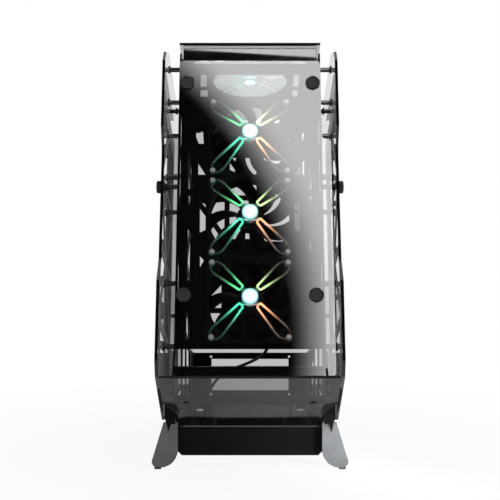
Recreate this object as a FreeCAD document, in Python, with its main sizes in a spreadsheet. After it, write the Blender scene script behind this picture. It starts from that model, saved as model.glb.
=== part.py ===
"""Open-frame tower computer case: a leaning sheet-metal core between two truss plates, glazed all round.

Case frame: X to the right, Y to the rear, Z up, floor at Z = 0, millimetres.
Core frame: leans back about X from the hub of the middle front fan. Its Y runs to the rear, square to
the fan plate, and its Z runs up the fan plate.
"""
import math
import os
from types import SimpleNamespace

import FreeCAD
import Part
import Sketcher

SIZES = {
    # Core, placed by the hub of the middle front fan
    "lean": 17,
    "core_front": 148,
    "core_height": 349,
    "inner_width": 199,
    "core_depth": 355,
    "core_low": 183,
    "core_high": 243,
    "rear_low": 115,
    "sheet_gauge": 2,
    "truss_gauge": 2.5,
    "truss_bar": 9,
    "truss_border": 14,
    "truss_set_back": 5,
    "truss_crest": 7,
    "base_window_rear": 150,
    "window_width": 145,
    "window_low": 193,
    "window_high": 229,
    "top_vent_width": 168,
    "top_vent_margin": 1.5,
    "top_slot_inner": 66,
    "top_slot_outer": 92,
    "top_slot_front": 40,
    "top_slot_rear": 345,
    # Fans
    "fan_size": 120,
    "fan_pitch": 120,
    "fan_depth": 25,
    "fan_bore": 115,
    "fan_hole_spacing": 105,
    "fan_hole": 4.5,
    "fan_gap": 0.6,
    "fan_set_back": 7,
    "hub_rise": 19,
    "plate_opening": 112,
    "arm_gauge": 3,
    "flange_gauge": 4,
    "motor_diameter": 36,
    "motor_gauge": 3,
    "rotor_gap": 0.8,
    "rotor_diameter": 38,
    "rotor_depth": 16.5,
    "shaft_diameter": 4,
    "shaft_clearance": 0.4,
    "blade_reach": 51,
    "blade_gauge": 1.6,
    "root_chord": 19,
    "root_pitch": 42,
    "tip_chord": 29,
    "tip_pitch": 24,
    "lens_diameter": 22,
    "lens_height": 2.5,
    "lens_round": 1.6,
    "arm_root": 15,
    "arm_root_width": 12,
    "arm_end_width": 19,
    "arm_tip_width": 6,
    "arm_leg": 2.6,
    "arm_end_back": 9,
    "arm_round": 5,
    "arm_hub": 27,
    "strut_root": 15,
    "screw_head": 7,
    "screw_head_height": 2.2,
    "screw_shank": 4,
    "exhaust_set_back": 90,
    "spare_fan_step": 125,
    # Front glass
    "glass_gauge": 4,
    "front_glass_gap": 16,
    "front_glass_narrow": 200.8,
    "front_glass_wide": 226,
    "front_glass_step": 105,
    "front_glass_low": 230,
    "front_glass_high": 225.5,
    "glass_slot_room": 1,
    "front_post_x": 88.8,
    "front_post_high": 190.5,
    "front_post_low": 120.5,
    "post_diameter": 10,
    "knob_diameter": 20,
    "knob_height": 3,
    "stem_diameter": 6,
    "stem_clearance": 0.4,
    "glass_corner": 6,
    "knob_round": 1.5,
    # Roof
    "lip_set_back": 14,
    "lip_height": 25,
    "lip_width": 195,
    "roof_gap": 27,
    "roof_front": 22,
    "roof_rear": 296,
    "roof_width": 208,
    "roof_post_x": 88,
    "roof_post_inset": 12,
    "roof_screw_head": 12,
    "roof_screw_height": 3,
    # Side glass outline: places to the front of the middle, places back from either end, and heights
    "case_depth": 552,
    "side_gap": 15.5,
    "tip_front": 125,
    "tip_height": 579,
    "brow_front": 146,
    "brow_height": 564,
    "shoulder_front": 175,
    "shoulder_height": 470,
    "notch_front": 161,
    "notch_top": 444,
    "notch_low": 430,
    "hip_set_back": 64,
    "hip_height": 287,
    "jaw_set_back": 30,
    "jaw_height": 261,
    "nose_height": 160,
    "chin_set_back": 8,
    "chin_height": 138,
    "keel_set_back": 119,
    "keel_height": 66,
    "keel_set_in": 71,
    "heel_height": 112,
    "tail_height": 205,
    "waist_set_in": 32,
    "waist_height": 268,
    "crest_set_in": 14,
    "crest_height": 470,
    "crown_set_in": 38,
    "crown_height": 488,
    "forehead_front": 72,
    "forehead_height": 586,
    "rod_diameter": 7,
    "side_knob_diameter": 17.6,
    "side_knob_height": 10,
    "knob_row": 45,
    "rear_knob_high": 190,
    "rear_knob_low": 60,
    "rod_row_one": 227,
    "rod_row_two": 175,
    "rod_row_three": 123,
    "rod_row_four": 59,
    "rod_row_five": 7,
    "rod_row_six": 96,
    "rod_row_seven": 184,
    "nose_rod_high": 94,
    "nose_rod_low": 62,
    # Base
    "tray_set_back": 125,
    "tray_floor": 16,
    "tray_chamfer": 5,
    "tray_wall": 58,
    "tray_side": 40,
    "psu_plate_set_in": 7,
    "psu_plate_top": 118,
    "psu_floor": 31,
    "psu_hole_width": 138,
    "psu_hole_height": 64,
    "psu_hole_low": 16,
    "psu_hole": 4.2,
    "psu_window_width": 136,
    "psu_window_low": 54,
    "psu_window_high": 107,
    "psu_shelf_width": 160,
    "psu_shelf_length": 169,
    "cross_bar_set_back": 58,
    "cross_bar_depth": 12,
    "cross_bar_low": 132,
    "cross_bar_high": 145,
    "drive_width": 102,
    "drive_length": 147,
    "drive_wall": 27,
    "drive_set_back": 11,
    # Lower cover, placed by its lower edge
    "cover_slope": 37.2,
    "cover_length": 130.6,
    "cover_set_back": 122,
    "cover_low": 56,
    "cover_width": 234,
    "cover_narrow": 196,
    "cover_cut_low": 36,
    "cover_cut_high": 65,
    "cover_screw_x": 84.8,
    "cover_screw_head": 8,
    "cover_rail_up": 60,
    "cover_rail_width": 10,
    "cover_rail_depth": 8,
    # Feet
    "foot_set_back": 110,
    "foot_gauge": 3,
    "foot_inner": 99,
    "foot_top_outer": 118.5,
    "foot_tip": 137.5,
    "foot_top": 64,
    "foot_curve": 24,
    "foot_tip_round": 8,
    "foot_flange": 50,
    "foot_flange_low": 22,
    "pad_gauge": 2,
    "pad_inner": 122,
    "pad_outer": 131,
    "pad_depth": 5,
    "bracket_top": 96,
    "bracket_low": 62,
    "bracket_tip": 51,
    "bracket_tip_x": 112,
    "bracket_outer": 117,
    "bracket_barb": 4,
    # Motherboard side
    "board_tray_x": 74,
    "board_tray_gauge": 1.5,
    "standoff_height": 6.5,
    "standoff_diameter": 6,
    "standoff_column_one": 157.48,
    "standoff_column_two": 227.33,
    "standoff_row_one": 154.94,
    "standoff_row_two": 281.94,
    "standoff_rear_inset": 14,
    "standoff_top": 222,
    "io_height": 158.75,
    "io_width": 44.45,
    "io_top": 231,
    "io_inset": 5,
    "slot_drop": 16,
    "cpu_window": 54,
    "cpu_drop": 30,
    "cable_slot_inset": 24,
    "cable_slot_width": 26,
    "cable_slot_height": 80,
    "slot_pitch": 20.32,
    "slot_height": 12.7,
    "slot_length": 104,
    "slot_cover_gauge": 1.2,
    "slot_cover_height": 18.4,
    "slot_cover_length": 112,
    # Connector box
    "io_box_front": 304,
    "io_box_depth": 46,
    "io_box_width": 130,
    "io_box_wall": 2,
    "io_box_height": 25,
    "power_x": -46,
    "power_diameter": 15,
    "reset_x": -24,
    "reset_diameter": 7,
    "button_clearance": 0.4,
    "button_rise": 2.5,
    "button_flange": 1.5,
    "button_flange_depth": 2,
    "button_travel": 2,
    "switch_width": 6,
    "usb_x": 8,
    "usb_pitch": 22,
    "usb_length": 13,
    "usb_height": 5.6,
    "usb_depth": 14,
    "socket_room": 0.1,
    "socket_wall": 0.6,
    "board_gauge": 1.6,
    "audio_x": 50,
    "audio_diameter": 8,
    "audio_bore": 3.6,
    # Cables
    "cable_diameter": 4.5,
}

SLOT_COUNT = 7
BLADE_COUNT = 9
ARM_COUNT = 4
TRUSS_COLUMNS = 3
TRUSS_ROWS = 3
BASE_WINDOWS = 3
TOP_SLOTS = 4
CABLE_WINDOWS = 4
ARM_TURN = 45
BEND_SHARE = 0.45
CUTS_PER_SKETCH = 4


class Size:
    """A number together with the sheet formula that gives it, so that every feature stays bound."""

    def __init__(self, value, formula):
        self.value = float(value)
        self.formula = formula

    def __add__(self, other):
        other = as_size(other)
        return Size(self.value + other.value, f"({self.formula} + {other.formula})")

    def __sub__(self, other):
        other = as_size(other)
        return Size(self.value - other.value, f"({self.formula} - {other.formula})")

    def __mul__(self, other):
        other = as_size(other)
        return Size(self.value * other.value, f"({self.formula} * {other.formula})")

    def __truediv__(self, other):
        other = as_size(other)
        return Size(self.value / other.value, f"({self.formula} / {other.formula})")

    def __rsub__(self, other):
        return as_size(other) - self

    def __neg__(self):
        return self * -1

    __radd__ = __add__
    __rmul__ = __mul__


def as_size(amount):
    return amount if isinstance(amount, Size) else Size(amount, repr(float(amount)))


def sine(angle):
    return Size(math.sin(math.radians(angle.value)), f"sin({angle.formula})")


def cosine(angle):
    return Size(math.cos(math.radians(angle.value)), f"cos({angle.formula})")


def bind(thing, name, amount):
    thing.setExpression(name, as_size(amount).formula)


doc = FreeCAD.newDocument("computer_case")
sheet = doc.addObject("Spreadsheet::Sheet", "Sheet")
for row, (alias, number) in enumerate(SIZES.items(), start=1):
    sheet.set(f"A{row}", alias)
    sheet.set(f"B{row}", str(number))
    sheet.setAlias(f"B{row}", alias)
doc.recompute()
size = SimpleNamespace(**{alias: Size(sheet.get(alias), f"Sheet.{alias}") for alias in SIZES})
bodies = {}


def new_body(label, y=0, z=0, turn=0):
    """Start a sub-part whose own frame stands at (0, y, z), leaned back about X by turn degrees."""
    body = doc.addObject("PartDesign::Body", label)
    body.Label = label
    body.AllowCompound = True
    y, z, turn = as_size(y), as_size(z), as_size(turn)
    place = FreeCAD.Vector(0, y.value, z.value)
    body.Placement = FreeCAD.Placement(place, FreeCAD.Rotation(FreeCAD.Vector(-1, 0, 0), turn.value))
    bind(body, "Placement.Base.y", y)
    bind(body, "Placement.Base.z", z)
    bind(body, "Placement.Rotation.Angle", turn)
    bodies[label] = body
    return body


def core_body(label):
    return new_body(label, -size.core_front, size.core_height, size.lean)


def core_point(depth, height):
    """Case-frame (Y, Z) of a point given in the core frame."""
    y = -size.core_front + depth * cosine(size.lean) + height * sine(size.lean)
    z = size.core_height - depth * sine(size.lean) + height * cosine(size.lean)
    return y, z


def new_sketch(body, plane, offset=0, turn=0, across=0, along=0, axis=(0, 0, 1)):
    """Sketch on one of the body's own planes, moved, then turned about its normal or another axis."""
    sketch = body.newObject("Sketcher::SketchObject", "Sketch")
    support = next(item for item in body.Origin.OriginFeatures if item.Role == plane)
    sketch.AttachmentSupport = [(support, "")]
    sketch.MapMode = "FlatFace"
    offset, turn, across, along = as_size(offset), as_size(turn), as_size(across), as_size(along)
    place = FreeCAD.Vector(across.value, along.value, offset.value)
    sketch.AttachmentOffset = FreeCAD.Placement(place, FreeCAD.Rotation(FreeCAD.Vector(*axis), turn.value))
    bind(sketch, "AttachmentOffset.Base.x", across)
    bind(sketch, "AttachmentOffset.Base.y", along)
    bind(sketch, "AttachmentOffset.Base.z", offset)
    bind(sketch, "AttachmentOffset.Rotation.Angle", turn)
    return sketch


def constrain(sketch, pairs):
    """Add constraints in one go and bind those that come with a size."""
    first = sketch.ConstraintCount
    sketch.addConstraint([constraint for constraint, amount in pairs])
    for index, (constraint, amount) in enumerate(pairs, start=first):
        if amount is not None:
            bind(sketch, f"Constraints[{index}]", amount)


def point_constraints(geometry, vertex, point):
    x, y = as_size(point[0]), as_size(point[1])
    return [
        (Sketcher.Constraint("DistanceX", geometry, vertex, x.value), x),
        (Sketcher.Constraint("DistanceY", geometry, vertex, y.value), y),
    ]


def draw_polygon(sketch, points):
    first = sketch.GeometryCount
    corners = [FreeCAD.Vector(as_size(x).value, as_size(y).value, 0) for x, y in points]
    count = len(corners)
    sketch.addGeometry([Part.LineSegment(corners[i], corners[(i + 1) % count]) for i in range(count)], False)
    pairs = []
    for i in range(count):
        pairs.append((Sketcher.Constraint("Coincident", first + i, 2, first + (i + 1) % count, 1), None))
        pairs += point_constraints(first + i, 1, points[i])
    constrain(sketch, pairs)


def draw_circle(sketch, centre, diameter):
    x, y, radius = as_size(centre[0]), as_size(centre[1]), as_size(diameter) / 2
    middle = FreeCAD.Vector(x.value, y.value, 0)
    index = sketch.addGeometry(Part.Circle(middle, FreeCAD.Vector(0, 0, 1), radius.value), False)
    pairs = [(Sketcher.Constraint("Radius", index, radius.value), radius)]
    constrain(sketch, pairs + point_constraints(index, 3, centre))


def rectangle(left, right, low, high):
    return [(left, low), (right, low), (right, high), (left, high)]


def extrude(body, sketch, length, kind="PartDesign::Pad", reverse=False):
    feature = body.newObject(kind, "Extrusion")
    feature.Profile = sketch
    feature.Reversed = reverse
    feature.Length = as_size(length).value
    bind(feature, "Length", length)
    return feature


def add_plate(body, plane, start, gauge, polygons=(), circles=(), cuts=()):
    """Pad one drawing of outlines and round holes, then cut further openings a few at a time."""
    sketch = new_sketch(body, plane, start)
    for points in polygons:
        draw_polygon(sketch, points)
    for centre, diameter in circles:
        draw_circle(sketch, centre, diameter)
    feature = extrude(body, sketch, gauge)
    for first in range(0, len(cuts), CUTS_PER_SKETCH):
        sketch = new_sketch(body, plane, start)
        for points in cuts[first:first + CUTS_PER_SKETCH]:
            draw_polygon(sketch, points)
        feature = extrude(body, sketch, gauge, "PartDesign::Pocket", True)
    return feature


def mirrored(points):
    return [(-x, y) for x, y in points]


def round_edges(body, base, corners, radius):
    """Round the edges of a padded plate that stand on the given sketch corners (X and Z of the body)."""
    doc.recompute()
    names = []
    for index, edge in enumerate(base.Shape.Edges, start=1):
        ends = [vertex.Point for vertex in edge.Vertexes]
        for x, z in corners:
            if all(math.hypot(end.x - as_size(x).value, end.z - as_size(z).value) < 0.01 for end in ends):
                names.append(f"Edge{index}")
    fillet = body.newObject("PartDesign::Fillet", "Fillet")
    fillet.Base = (base, names)
    fillet.Radius = as_size(radius).value
    bind(fillet, "Radius", radius)
    return fillet


half_inner = size.inner_width / 2
truss_outer = half_inner + size.truss_gauge
glass_inner = truss_outer + size.side_gap
half_depth = size.case_depth / 2
hip_front = half_depth - size.hip_set_back
jaw_front = half_depth - size.jaw_set_back
chin_front = half_depth - size.chin_set_back
keel_front = half_depth - size.keel_set_back
keel_rear = half_depth - size.keel_set_in
waist_rear = half_depth - size.waist_set_in
crest_rear = half_depth - size.crest_set_in
crown_rear = half_depth - size.crown_set_in
tray_front = half_depth - size.tray_set_back
drive_front = tray_front - size.drive_set_back
cover_front = half_depth - size.cover_set_back
cross_bar_front = half_depth - size.cross_bar_set_back
foot_front = half_depth - size.foot_set_back
psu_plate_rear = half_depth - size.psu_plate_set_in
psu_shelf_front = psu_plate_rear - size.psu_shelf_length
fan_rear = size.fan_set_back + size.fan_depth
plate_rear = fan_rear + size.sheet_gauge
rear_outer = size.core_depth + size.sheet_gauge
top_upper = size.core_high + size.sheet_gauge
roof_low = top_upper + size.roof_gap
roof_high = roof_low + size.glass_gauge
fan_half = size.fan_size / 2
hole_half = size.fan_hole_spacing / 2
stem_hole = size.stem_diameter + 2 * size.stem_clearance
fan_heights = {"top": size.fan_pitch, "middle": 0 * size.fan_pitch, "lower": -size.fan_pitch}


def square_holes(middle_x, middle_y):
    """Centres of a fan's four screw holes."""
    return [(middle_x + i * hole_half, middle_y + j * hole_half) for i in (-1, 1) for j in (-1, 1)]


def root(amount):
    return Size(math.sqrt(amount.value), f"sqrt({amount.formula})")


def lattice(left, right, low, high, columns, rows):
    """Right triangles that fill a field, with truss bars left between them."""
    wide, tall = (right - left) / columns, (high - low) / rows
    inradius = (wide + tall - root(wide * wide + tall * tall)) / 2
    keep = 1 - size.truss_bar / (2 * inradius)
    triangles = []
    for i in range(columns):
        for j in range(rows):
            lean = 1 if (i + j) % 2 else -1
            for side in (-1, 1):
                right_x = left + wide * (i + 0.5 + 0.5 * side * lean)
                right_y = low + tall * (j + 0.5 - 0.5 * side)
                far_x, far_y = right_x - wide * side * lean, right_y + tall * side
                middle_x, middle_y = right_x - inradius * side * lean, right_y + inradius * side
                corners = [(right_x, right_y), (far_x, right_y), (right_x, far_y)]
                triangles.append([(middle_x + (x - middle_x) * keep, middle_y + (y - middle_y) * keep)
                                  for x, y in corners])
    return triangles


# Cut-outs of one side column of the fan plate: share of the way from the fan to the plate's edge, and
# height in fan pitches from the middle hub
COLUMN_CUTS = [
    [(0.73, 0.93), (0.52, 0.41), (0.74, 0.41)],
    [(0.54, 0.83), (0.09, 0.59), (0.47, 0.59)],
    [(0.43, 1.15), (0.21, 1.15), (0.16, 0.93), (0.27, 0.93), (0.48, 1.09)],
    [(0.73, 0.325), (0.5, 0.325), (0.69, 0.205)],
    [(0.28, 0.25), (0.08, 0.22), (0.07, -0.1), (0.27, -0.135)],
    [(0.71, -0.085), (0.53, -0.17), (0.5, -0.715), (0.7, -0.715)],
    [(0.26, -0.32), (0.07, -0.45), (0.25, -0.56)],
    [(0.72, -1.11), (0.51, -1.11), (0.49, -1.41), (0.7, -1.41)],
]


def fan_plate():
    body = core_body("fan_plate")
    outline = rectangle(-half_inner, half_inner, -size.core_low, size.core_high)
    window = rectangle(-size.window_width / 2, size.window_width / 2, size.window_low, size.window_high)
    cuts = [[(fan_half + (half_inner - fan_half) * share, size.fan_pitch * step) for share, step in points]
            for points in COLUMN_CUTS]
    cuts += [mirrored(points) for points in cuts]
    circles = []
    for height in fan_heights.values():
        circles.append(((0, height), size.plate_opening))
        circles += [(centre, size.fan_hole) for centre in square_holes(0, height)]
    add_plate(body, "XZ_Plane", -plate_rear, size.sheet_gauge, [outline, window], circles, cuts)


def top_plate():
    body = core_body("top_plate")
    outline = rectangle(-half_inner, half_inner, size.lip_set_back, rear_outer)
    vent_front = size.lip_set_back + size.sheet_gauge + size.top_vent_margin
    vent = rectangle(-size.top_vent_width / 2, size.top_vent_width / 2, vent_front,
                     fan_rear - size.top_vent_margin)
    pitch = (size.top_slot_rear - size.top_slot_front) / TOP_SLOTS
    openings = [vent]
    for i in range(TOP_SLOTS):
        front = size.top_slot_front + pitch * i
        slot = rectangle(size.top_slot_inner, size.top_slot_outer, front, front + pitch - size.truss_bar)
        openings += [slot, mirrored(slot)]
    circles = []
    for depth in (size.exhaust_set_back, size.exhaust_set_back + size.spare_fan_step):
        circles.append(((0, depth), size.plate_opening))
        circles += [(centre, size.fan_hole) for centre in square_holes(0, depth)]
    add_plate(body, "XY_Plane", size.core_high, size.sheet_gauge, [outline], circles, openings)
    lip = rectangle(-size.lip_width / 2, size.lip_width / 2, size.core_high, size.core_high + size.lip_height)
    add_plate(body, "XZ_Plane", -(size.lip_set_back + size.sheet_gauge), size.sheet_gauge, [lip])


io_right = size.board_tray_x - size.io_inset
io_low = size.io_top - size.io_height
slot_middles = [io_low - size.slot_drop - size.slot_pitch * i for i in range(SLOT_COUNT)]
slot_left = io_right - size.slot_length


def rear_panel():
    body = core_body("rear_panel")
    outline = rectangle(-half_inner, half_inner, -size.rear_low, size.core_high)
    openings = [rectangle(io_right - size.io_width, io_right, io_low, size.io_top)]
    half = size.slot_height / 2
    for middle in slot_middles:
        openings.append(rectangle(slot_left, io_right, middle - half, middle + half))
    edge = size.truss_bar
    margin = edge / 2
    openings += lattice(margin - half_inner, io_right - size.io_width - edge, io_low, size.io_top, 2, 2)
    openings += lattice(margin - half_inner, slot_left - edge, edge - size.rear_low, io_low - edge, 1, 3)
    behind_tray = size.board_tray_x + size.board_tray_gauge + margin
    pitch = (size.io_top + size.rear_low - edge) / CABLE_WINDOWS
    for i in range(CABLE_WINDOWS):
        low = edge - size.rear_low + pitch * i
        openings.append(rectangle(behind_tray, half_inner - margin, low, low + pitch - edge))
    add_plate(body, "XZ_Plane", -rear_outer, size.sheet_gauge, [outline], (), openings)


def slot_covers():
    body = core_body("slot_covers")
    middle_x = io_right - size.slot_length / 2
    half = size.slot_cover_length / 2
    tall = size.slot_cover_height / 2
    left, right = middle_x - half, middle_x + half
    covers = [rectangle(left, right, middle - tall, middle + tall) for middle in slot_middles]
    start = -(rear_outer + size.slot_cover_gauge)
    add_plate(body, "XZ_Plane", start, size.slot_cover_gauge, covers)


def motherboard_tray():
    body = core_body("motherboard_tray")
    outline = rectangle(plate_rear, size.core_depth, -size.rear_low, size.core_high)
    middle = size.core_depth - size.standoff_rear_inset - size.standoff_column_one / 2
    window_top = size.standoff_top - size.cpu_drop
    processor = rectangle(middle - size.cpu_window / 2, middle + size.cpu_window / 2,
                          window_top - size.cpu_window, window_top)
    left = plate_rear + size.cable_slot_inset
    right = left + size.cable_slot_width
    half = size.cable_slot_height / 2
    first = size.standoff_top - size.standoff_row_one / 2
    cable_slots = [rectangle(left, right, middle - half, middle + half)
                   for middle in (first, first - size.standoff_row_one)]
    add_plate(body, "YZ_Plane", size.board_tray_x, size.board_tray_gauge, [outline, processor] + cable_slots)


def motherboard_standoffs():
    body = core_body("motherboard_standoffs")
    columns = [0, size.standoff_column_one, size.standoff_column_two]
    rows = [0, size.standoff_row_one, size.standoff_row_two]
    places = [(size.core_depth - size.standoff_rear_inset - column, size.standoff_top - row_drop)
              for column in columns for row_drop in rows]
    start = size.board_tray_x - size.standoff_height
    circles = [(place, size.standoff_diameter) for place in places]
    add_plate(body, "YZ_Plane", start, size.standoff_height, (), circles)


def to_core(y, z):
    """Core-frame (Y, Z) of a point given in the case frame."""
    y, z = y + size.core_front, z - size.core_height
    return y * cosine(size.lean) - z * sine(size.lean), y * sine(size.lean) + z * cosine(size.lean)


def on_cover(up, inward):
    """Case-frame (Y, Z) of a point on the lower cover, up its slope and inward from its outer face."""
    y = inward * sine(size.cover_slope) - cover_front - up * cosine(size.cover_slope)
    return y, size.cover_low + up * sine(size.cover_slope) + inward * cosine(size.cover_slope)


truss_front = size.truss_set_back
truss_top = size.core_high + size.truss_crest
psu_outer = psu_plate_rear + size.sheet_gauge


def truss_outline():
    chamfered_floor = size.tray_floor + size.tray_chamfer
    points = [
        to_core(-tray_front, chamfered_floor),
        to_core(*on_cover(size.sheet_gauge, size.glass_gauge)),
        to_core(*on_cover(size.cover_length - size.truss_bar, size.glass_gauge)),
        (truss_front, -size.core_low),
        (truss_front, truss_top),
        (rear_outer, truss_top),
        (rear_outer, -size.rear_low),
        to_core(psu_outer, size.psu_plate_top),
        to_core(psu_outer, chamfered_floor),
    ]
    return points


def base_windows():
    """Openings of the truss plate between the core and the tray, under the lowest bar of the lattice."""
    corner_y, corner_z = core_point(0, -size.rear_low - size.truss_bar)
    low = size.tray_wall + size.truss_bar
    pitch = (size.base_window_rear + tray_front) / BASE_WINDOWS
    windows = []
    for i in range(BASE_WINDOWS):
        front = pitch * i - tray_front + size.truss_bar / 2
        rear = front + pitch - size.truss_bar
        corners = [(front, low), (rear, low)]
        for y in (rear, front):
            corners.append((y, corner_z - (y - corner_y) * sine(size.lean) / cosine(size.lean)))
        windows.append([to_core(y, z) for y, z in corners])
    return windows


def glass_slot():
    """Slot in the nose of the truss plate that the lower corner of the front glass stands in."""
    room = size.glass_slot_room
    return rectangle(-front_glass_outer - room, room - size.front_glass_gap, -size.front_glass_low - room,
                     -size.core_low)


def truss_plate(label, start):
    body = core_body(label)
    field = lattice(truss_front + size.truss_border, rear_outer - size.truss_border, -size.rear_low,
                    truss_top - 2 * size.truss_border, TRUSS_COLUMNS, TRUSS_ROWS)
    add_plate(body, "YZ_Plane", start, size.truss_gauge, [truss_outline()], (),
              base_windows() + field + [glass_slot()])


def bottom_tray():
    body = new_body("bottom_tray")
    low, cut, wall = size.tray_floor, size.tray_chamfer, size.sheet_gauge
    outer = [(-half_inner, size.tray_side), (-half_inner, low + cut), (cut - half_inner, low),
             (half_inner - cut, low), (half_inner, low + cut), (half_inner, size.tray_side)]
    inner = [(half_inner - wall, size.tray_side), (half_inner - wall, low + cut + wall),
             (half_inner - cut - wall, low + wall), (cut + wall - half_inner, low + wall),
             (wall - half_inner, low + cut + wall), (wall - half_inner, size.tray_side)]
    add_plate(body, "XZ_Plane", -psu_plate_rear, psu_plate_rear + tray_front, [outer + inner])
    front = [(-half_inner, size.tray_wall)] + outer[1:5] + [(half_inner, size.tray_wall)]
    add_plate(body, "XZ_Plane", tray_front - wall, wall, [front])


psu_middle = size.psu_floor + size.psu_hole_low + size.psu_hole_height / 2


def psu_plate():
    body = new_body("psu_plate")
    outline = rectangle(-half_inner, half_inner, size.tray_floor + size.tray_chamfer, size.psu_plate_top)
    half = size.psu_window_width / 2
    window = rectangle(-half, half, size.psu_window_low, size.psu_window_high)
    circles = [((i * size.psu_hole_width / 2, psu_middle + j * size.psu_hole_height / 2), size.psu_hole)
               for i in (-1, 1) for j in (-1, 1)]
    add_plate(body, "XZ_Plane", -psu_outer, size.sheet_gauge, [outline, window], circles)


def psu_shelf():
    body = new_body("psu_shelf")
    half, wall = size.psu_shelf_width / 2, size.sheet_gauge
    low = size.tray_floor + wall
    profile = [(-half, low), (wall - half, low), (wall - half, size.psu_floor - wall),
               (half - wall, size.psu_floor - wall), (half - wall, low), (half, low),
               (half, size.psu_floor), (-half, size.psu_floor)]
    add_plate(body, "XZ_Plane", -psu_plate_rear, psu_plate_rear - psu_shelf_front, [profile])


def drive_plate():
    body = new_body("drive_plate")
    half, wall = size.drive_width / 2, size.sheet_gauge
    low = size.tray_floor + wall
    high = low + size.drive_wall
    profile = [(-half - wall, low), (half + wall, low), (half + wall, high), (half, high), (half, low + wall),
               (-half, low + wall), (-half, high), (-half - wall, high)]
    add_plate(body, "XZ_Plane", drive_front - size.drive_length, size.drive_length, [profile])


def cross_bar():
    body = new_body("cross_bar")
    outline = rectangle(-half_inner, half_inner, size.cross_bar_low, size.cross_bar_high)
    add_plate(body, "XZ_Plane", cross_bar_front - size.cross_bar_depth, size.cross_bar_depth, [outline])


def cover_body(label):
    return new_body(label, -cover_front, size.cover_low, 180 + size.cover_slope)


def lower_cover():
    body = cover_body("lower_cover")
    wide, narrow = size.cover_width / 2, size.cover_narrow / 2
    right = [(narrow, 0), (narrow, size.cover_cut_low), (wide, size.cover_cut_high),
             (wide, size.cover_length)]
    outline = right + mirrored(right[::-1])
    screw_up = size.cover_rail_up + size.cover_rail_width / 2
    circles = [((i * size.cover_screw_x, screw_up), stem_hole) for i in (-1, 1)]
    add_plate(body, "XY_Plane", -size.glass_gauge, size.glass_gauge, [outline], circles)


def cover_rail():
    body = cover_body("cover_rail")
    outline = rectangle(-half_inner, half_inner, size.cover_rail_up,
                        size.cover_rail_up + size.cover_rail_width)
    add_plate(body, "XY_Plane", -size.glass_gauge - size.cover_rail_depth, size.cover_rail_depth, [outline])


def cover_screws():
    body = cover_body("cover_screws")
    screw_up = size.cover_rail_up + size.cover_rail_width / 2
    places = [(i * size.cover_screw_x, screw_up) for i in (-1, 1)]
    heads = [(place, size.cover_screw_head) for place in places]
    add_plate(body, "XY_Plane", 0, size.screw_head_height, (), heads)
    stems = [(place, size.stem_diameter) for place in places]
    add_plate(body, "XY_Plane", -size.glass_gauge, size.glass_gauge, (), stems)


front_post_places = [(i * size.front_post_x, height) for i in (-1, 1)
                     for height in (size.front_post_high, -size.front_post_low)]
front_glass_outer = size.front_glass_gap + size.glass_gauge


def round_rims(body, base, on_rim, radius):
    """Round the edges of a padded piece whose middle the test accepts."""
    doc.recompute()
    names = [f"Edge{index}" for index, edge in enumerate(base.Shape.Edges, start=1)
             if on_rim(edge.CenterOfMass)]
    fillet = body.newObject("PartDesign::Fillet", "Fillet")
    fillet.Base = (base, names)
    fillet.Radius = as_size(radius).value
    bind(fillet, "Radius", radius)
    return fillet


def front_glass():
    body = core_body("front_glass")
    wide, narrow = size.front_glass_wide / 2, size.front_glass_narrow / 2
    right = [(wide, -size.front_glass_low), (wide, size.front_glass_step), (narrow, size.front_glass_step),
             (narrow, size.front_glass_high)]
    outline = right + mirrored(right[::-1])
    circles = [(place, stem_hole) for place in front_post_places]
    base = add_plate(body, "XZ_Plane", size.front_glass_gap, size.glass_gauge, [outline], circles)
    round_edges(body, base, outline, size.glass_corner)


def front_posts():
    body = core_body("front_posts")
    circles = [(place, size.post_diameter) for place in front_post_places]
    add_plate(body, "XZ_Plane", -fan_rear, fan_rear + size.front_glass_gap, (), circles)


def front_knobs():
    body = core_body("front_knobs")
    circles = [(place, size.knob_diameter) for place in front_post_places]
    base = add_plate(body, "XZ_Plane", front_glass_outer, size.knob_height, (), circles)
    face = -(front_glass_outer + size.knob_height).value
    round_rims(body, base, lambda middle: middle.y < face + 0.01, size.knob_round)
    stems = [(place, size.stem_diameter) for place in front_post_places]
    add_plate(body, "XZ_Plane", size.front_glass_gap, size.glass_gauge, (), stems)


roof_post_depths = [size.roof_front + size.roof_post_inset, size.roof_rear - size.roof_post_inset]
roof_post_places = [(i * size.roof_post_x, depth) for i in (-1, 1) for depth in roof_post_depths]


def roof_glass():
    body = core_body("roof_glass")
    half = size.roof_width / 2
    outline = rectangle(-half, half, size.roof_front, size.roof_rear)
    circles = [(place, stem_hole) for place in roof_post_places]
    add_plate(body, "XY_Plane", roof_low, size.glass_gauge, [outline], circles)


def roof_posts():
    body = core_body("roof_posts")
    posts = [(place, size.post_diameter) for place in roof_post_places]
    add_plate(body, "XY_Plane", top_upper, size.roof_gap, (), posts)


def roof_screws():
    body = core_body("roof_screws")
    heads = [(place, size.roof_screw_head) for place in roof_post_places]
    add_plate(body, "XY_Plane", roof_high, size.roof_screw_height, (), heads)
    stems = [(place, size.stem_diameter) for place in roof_post_places]
    add_plate(body, "XY_Plane", roof_low, size.glass_gauge, (), stems)


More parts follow.
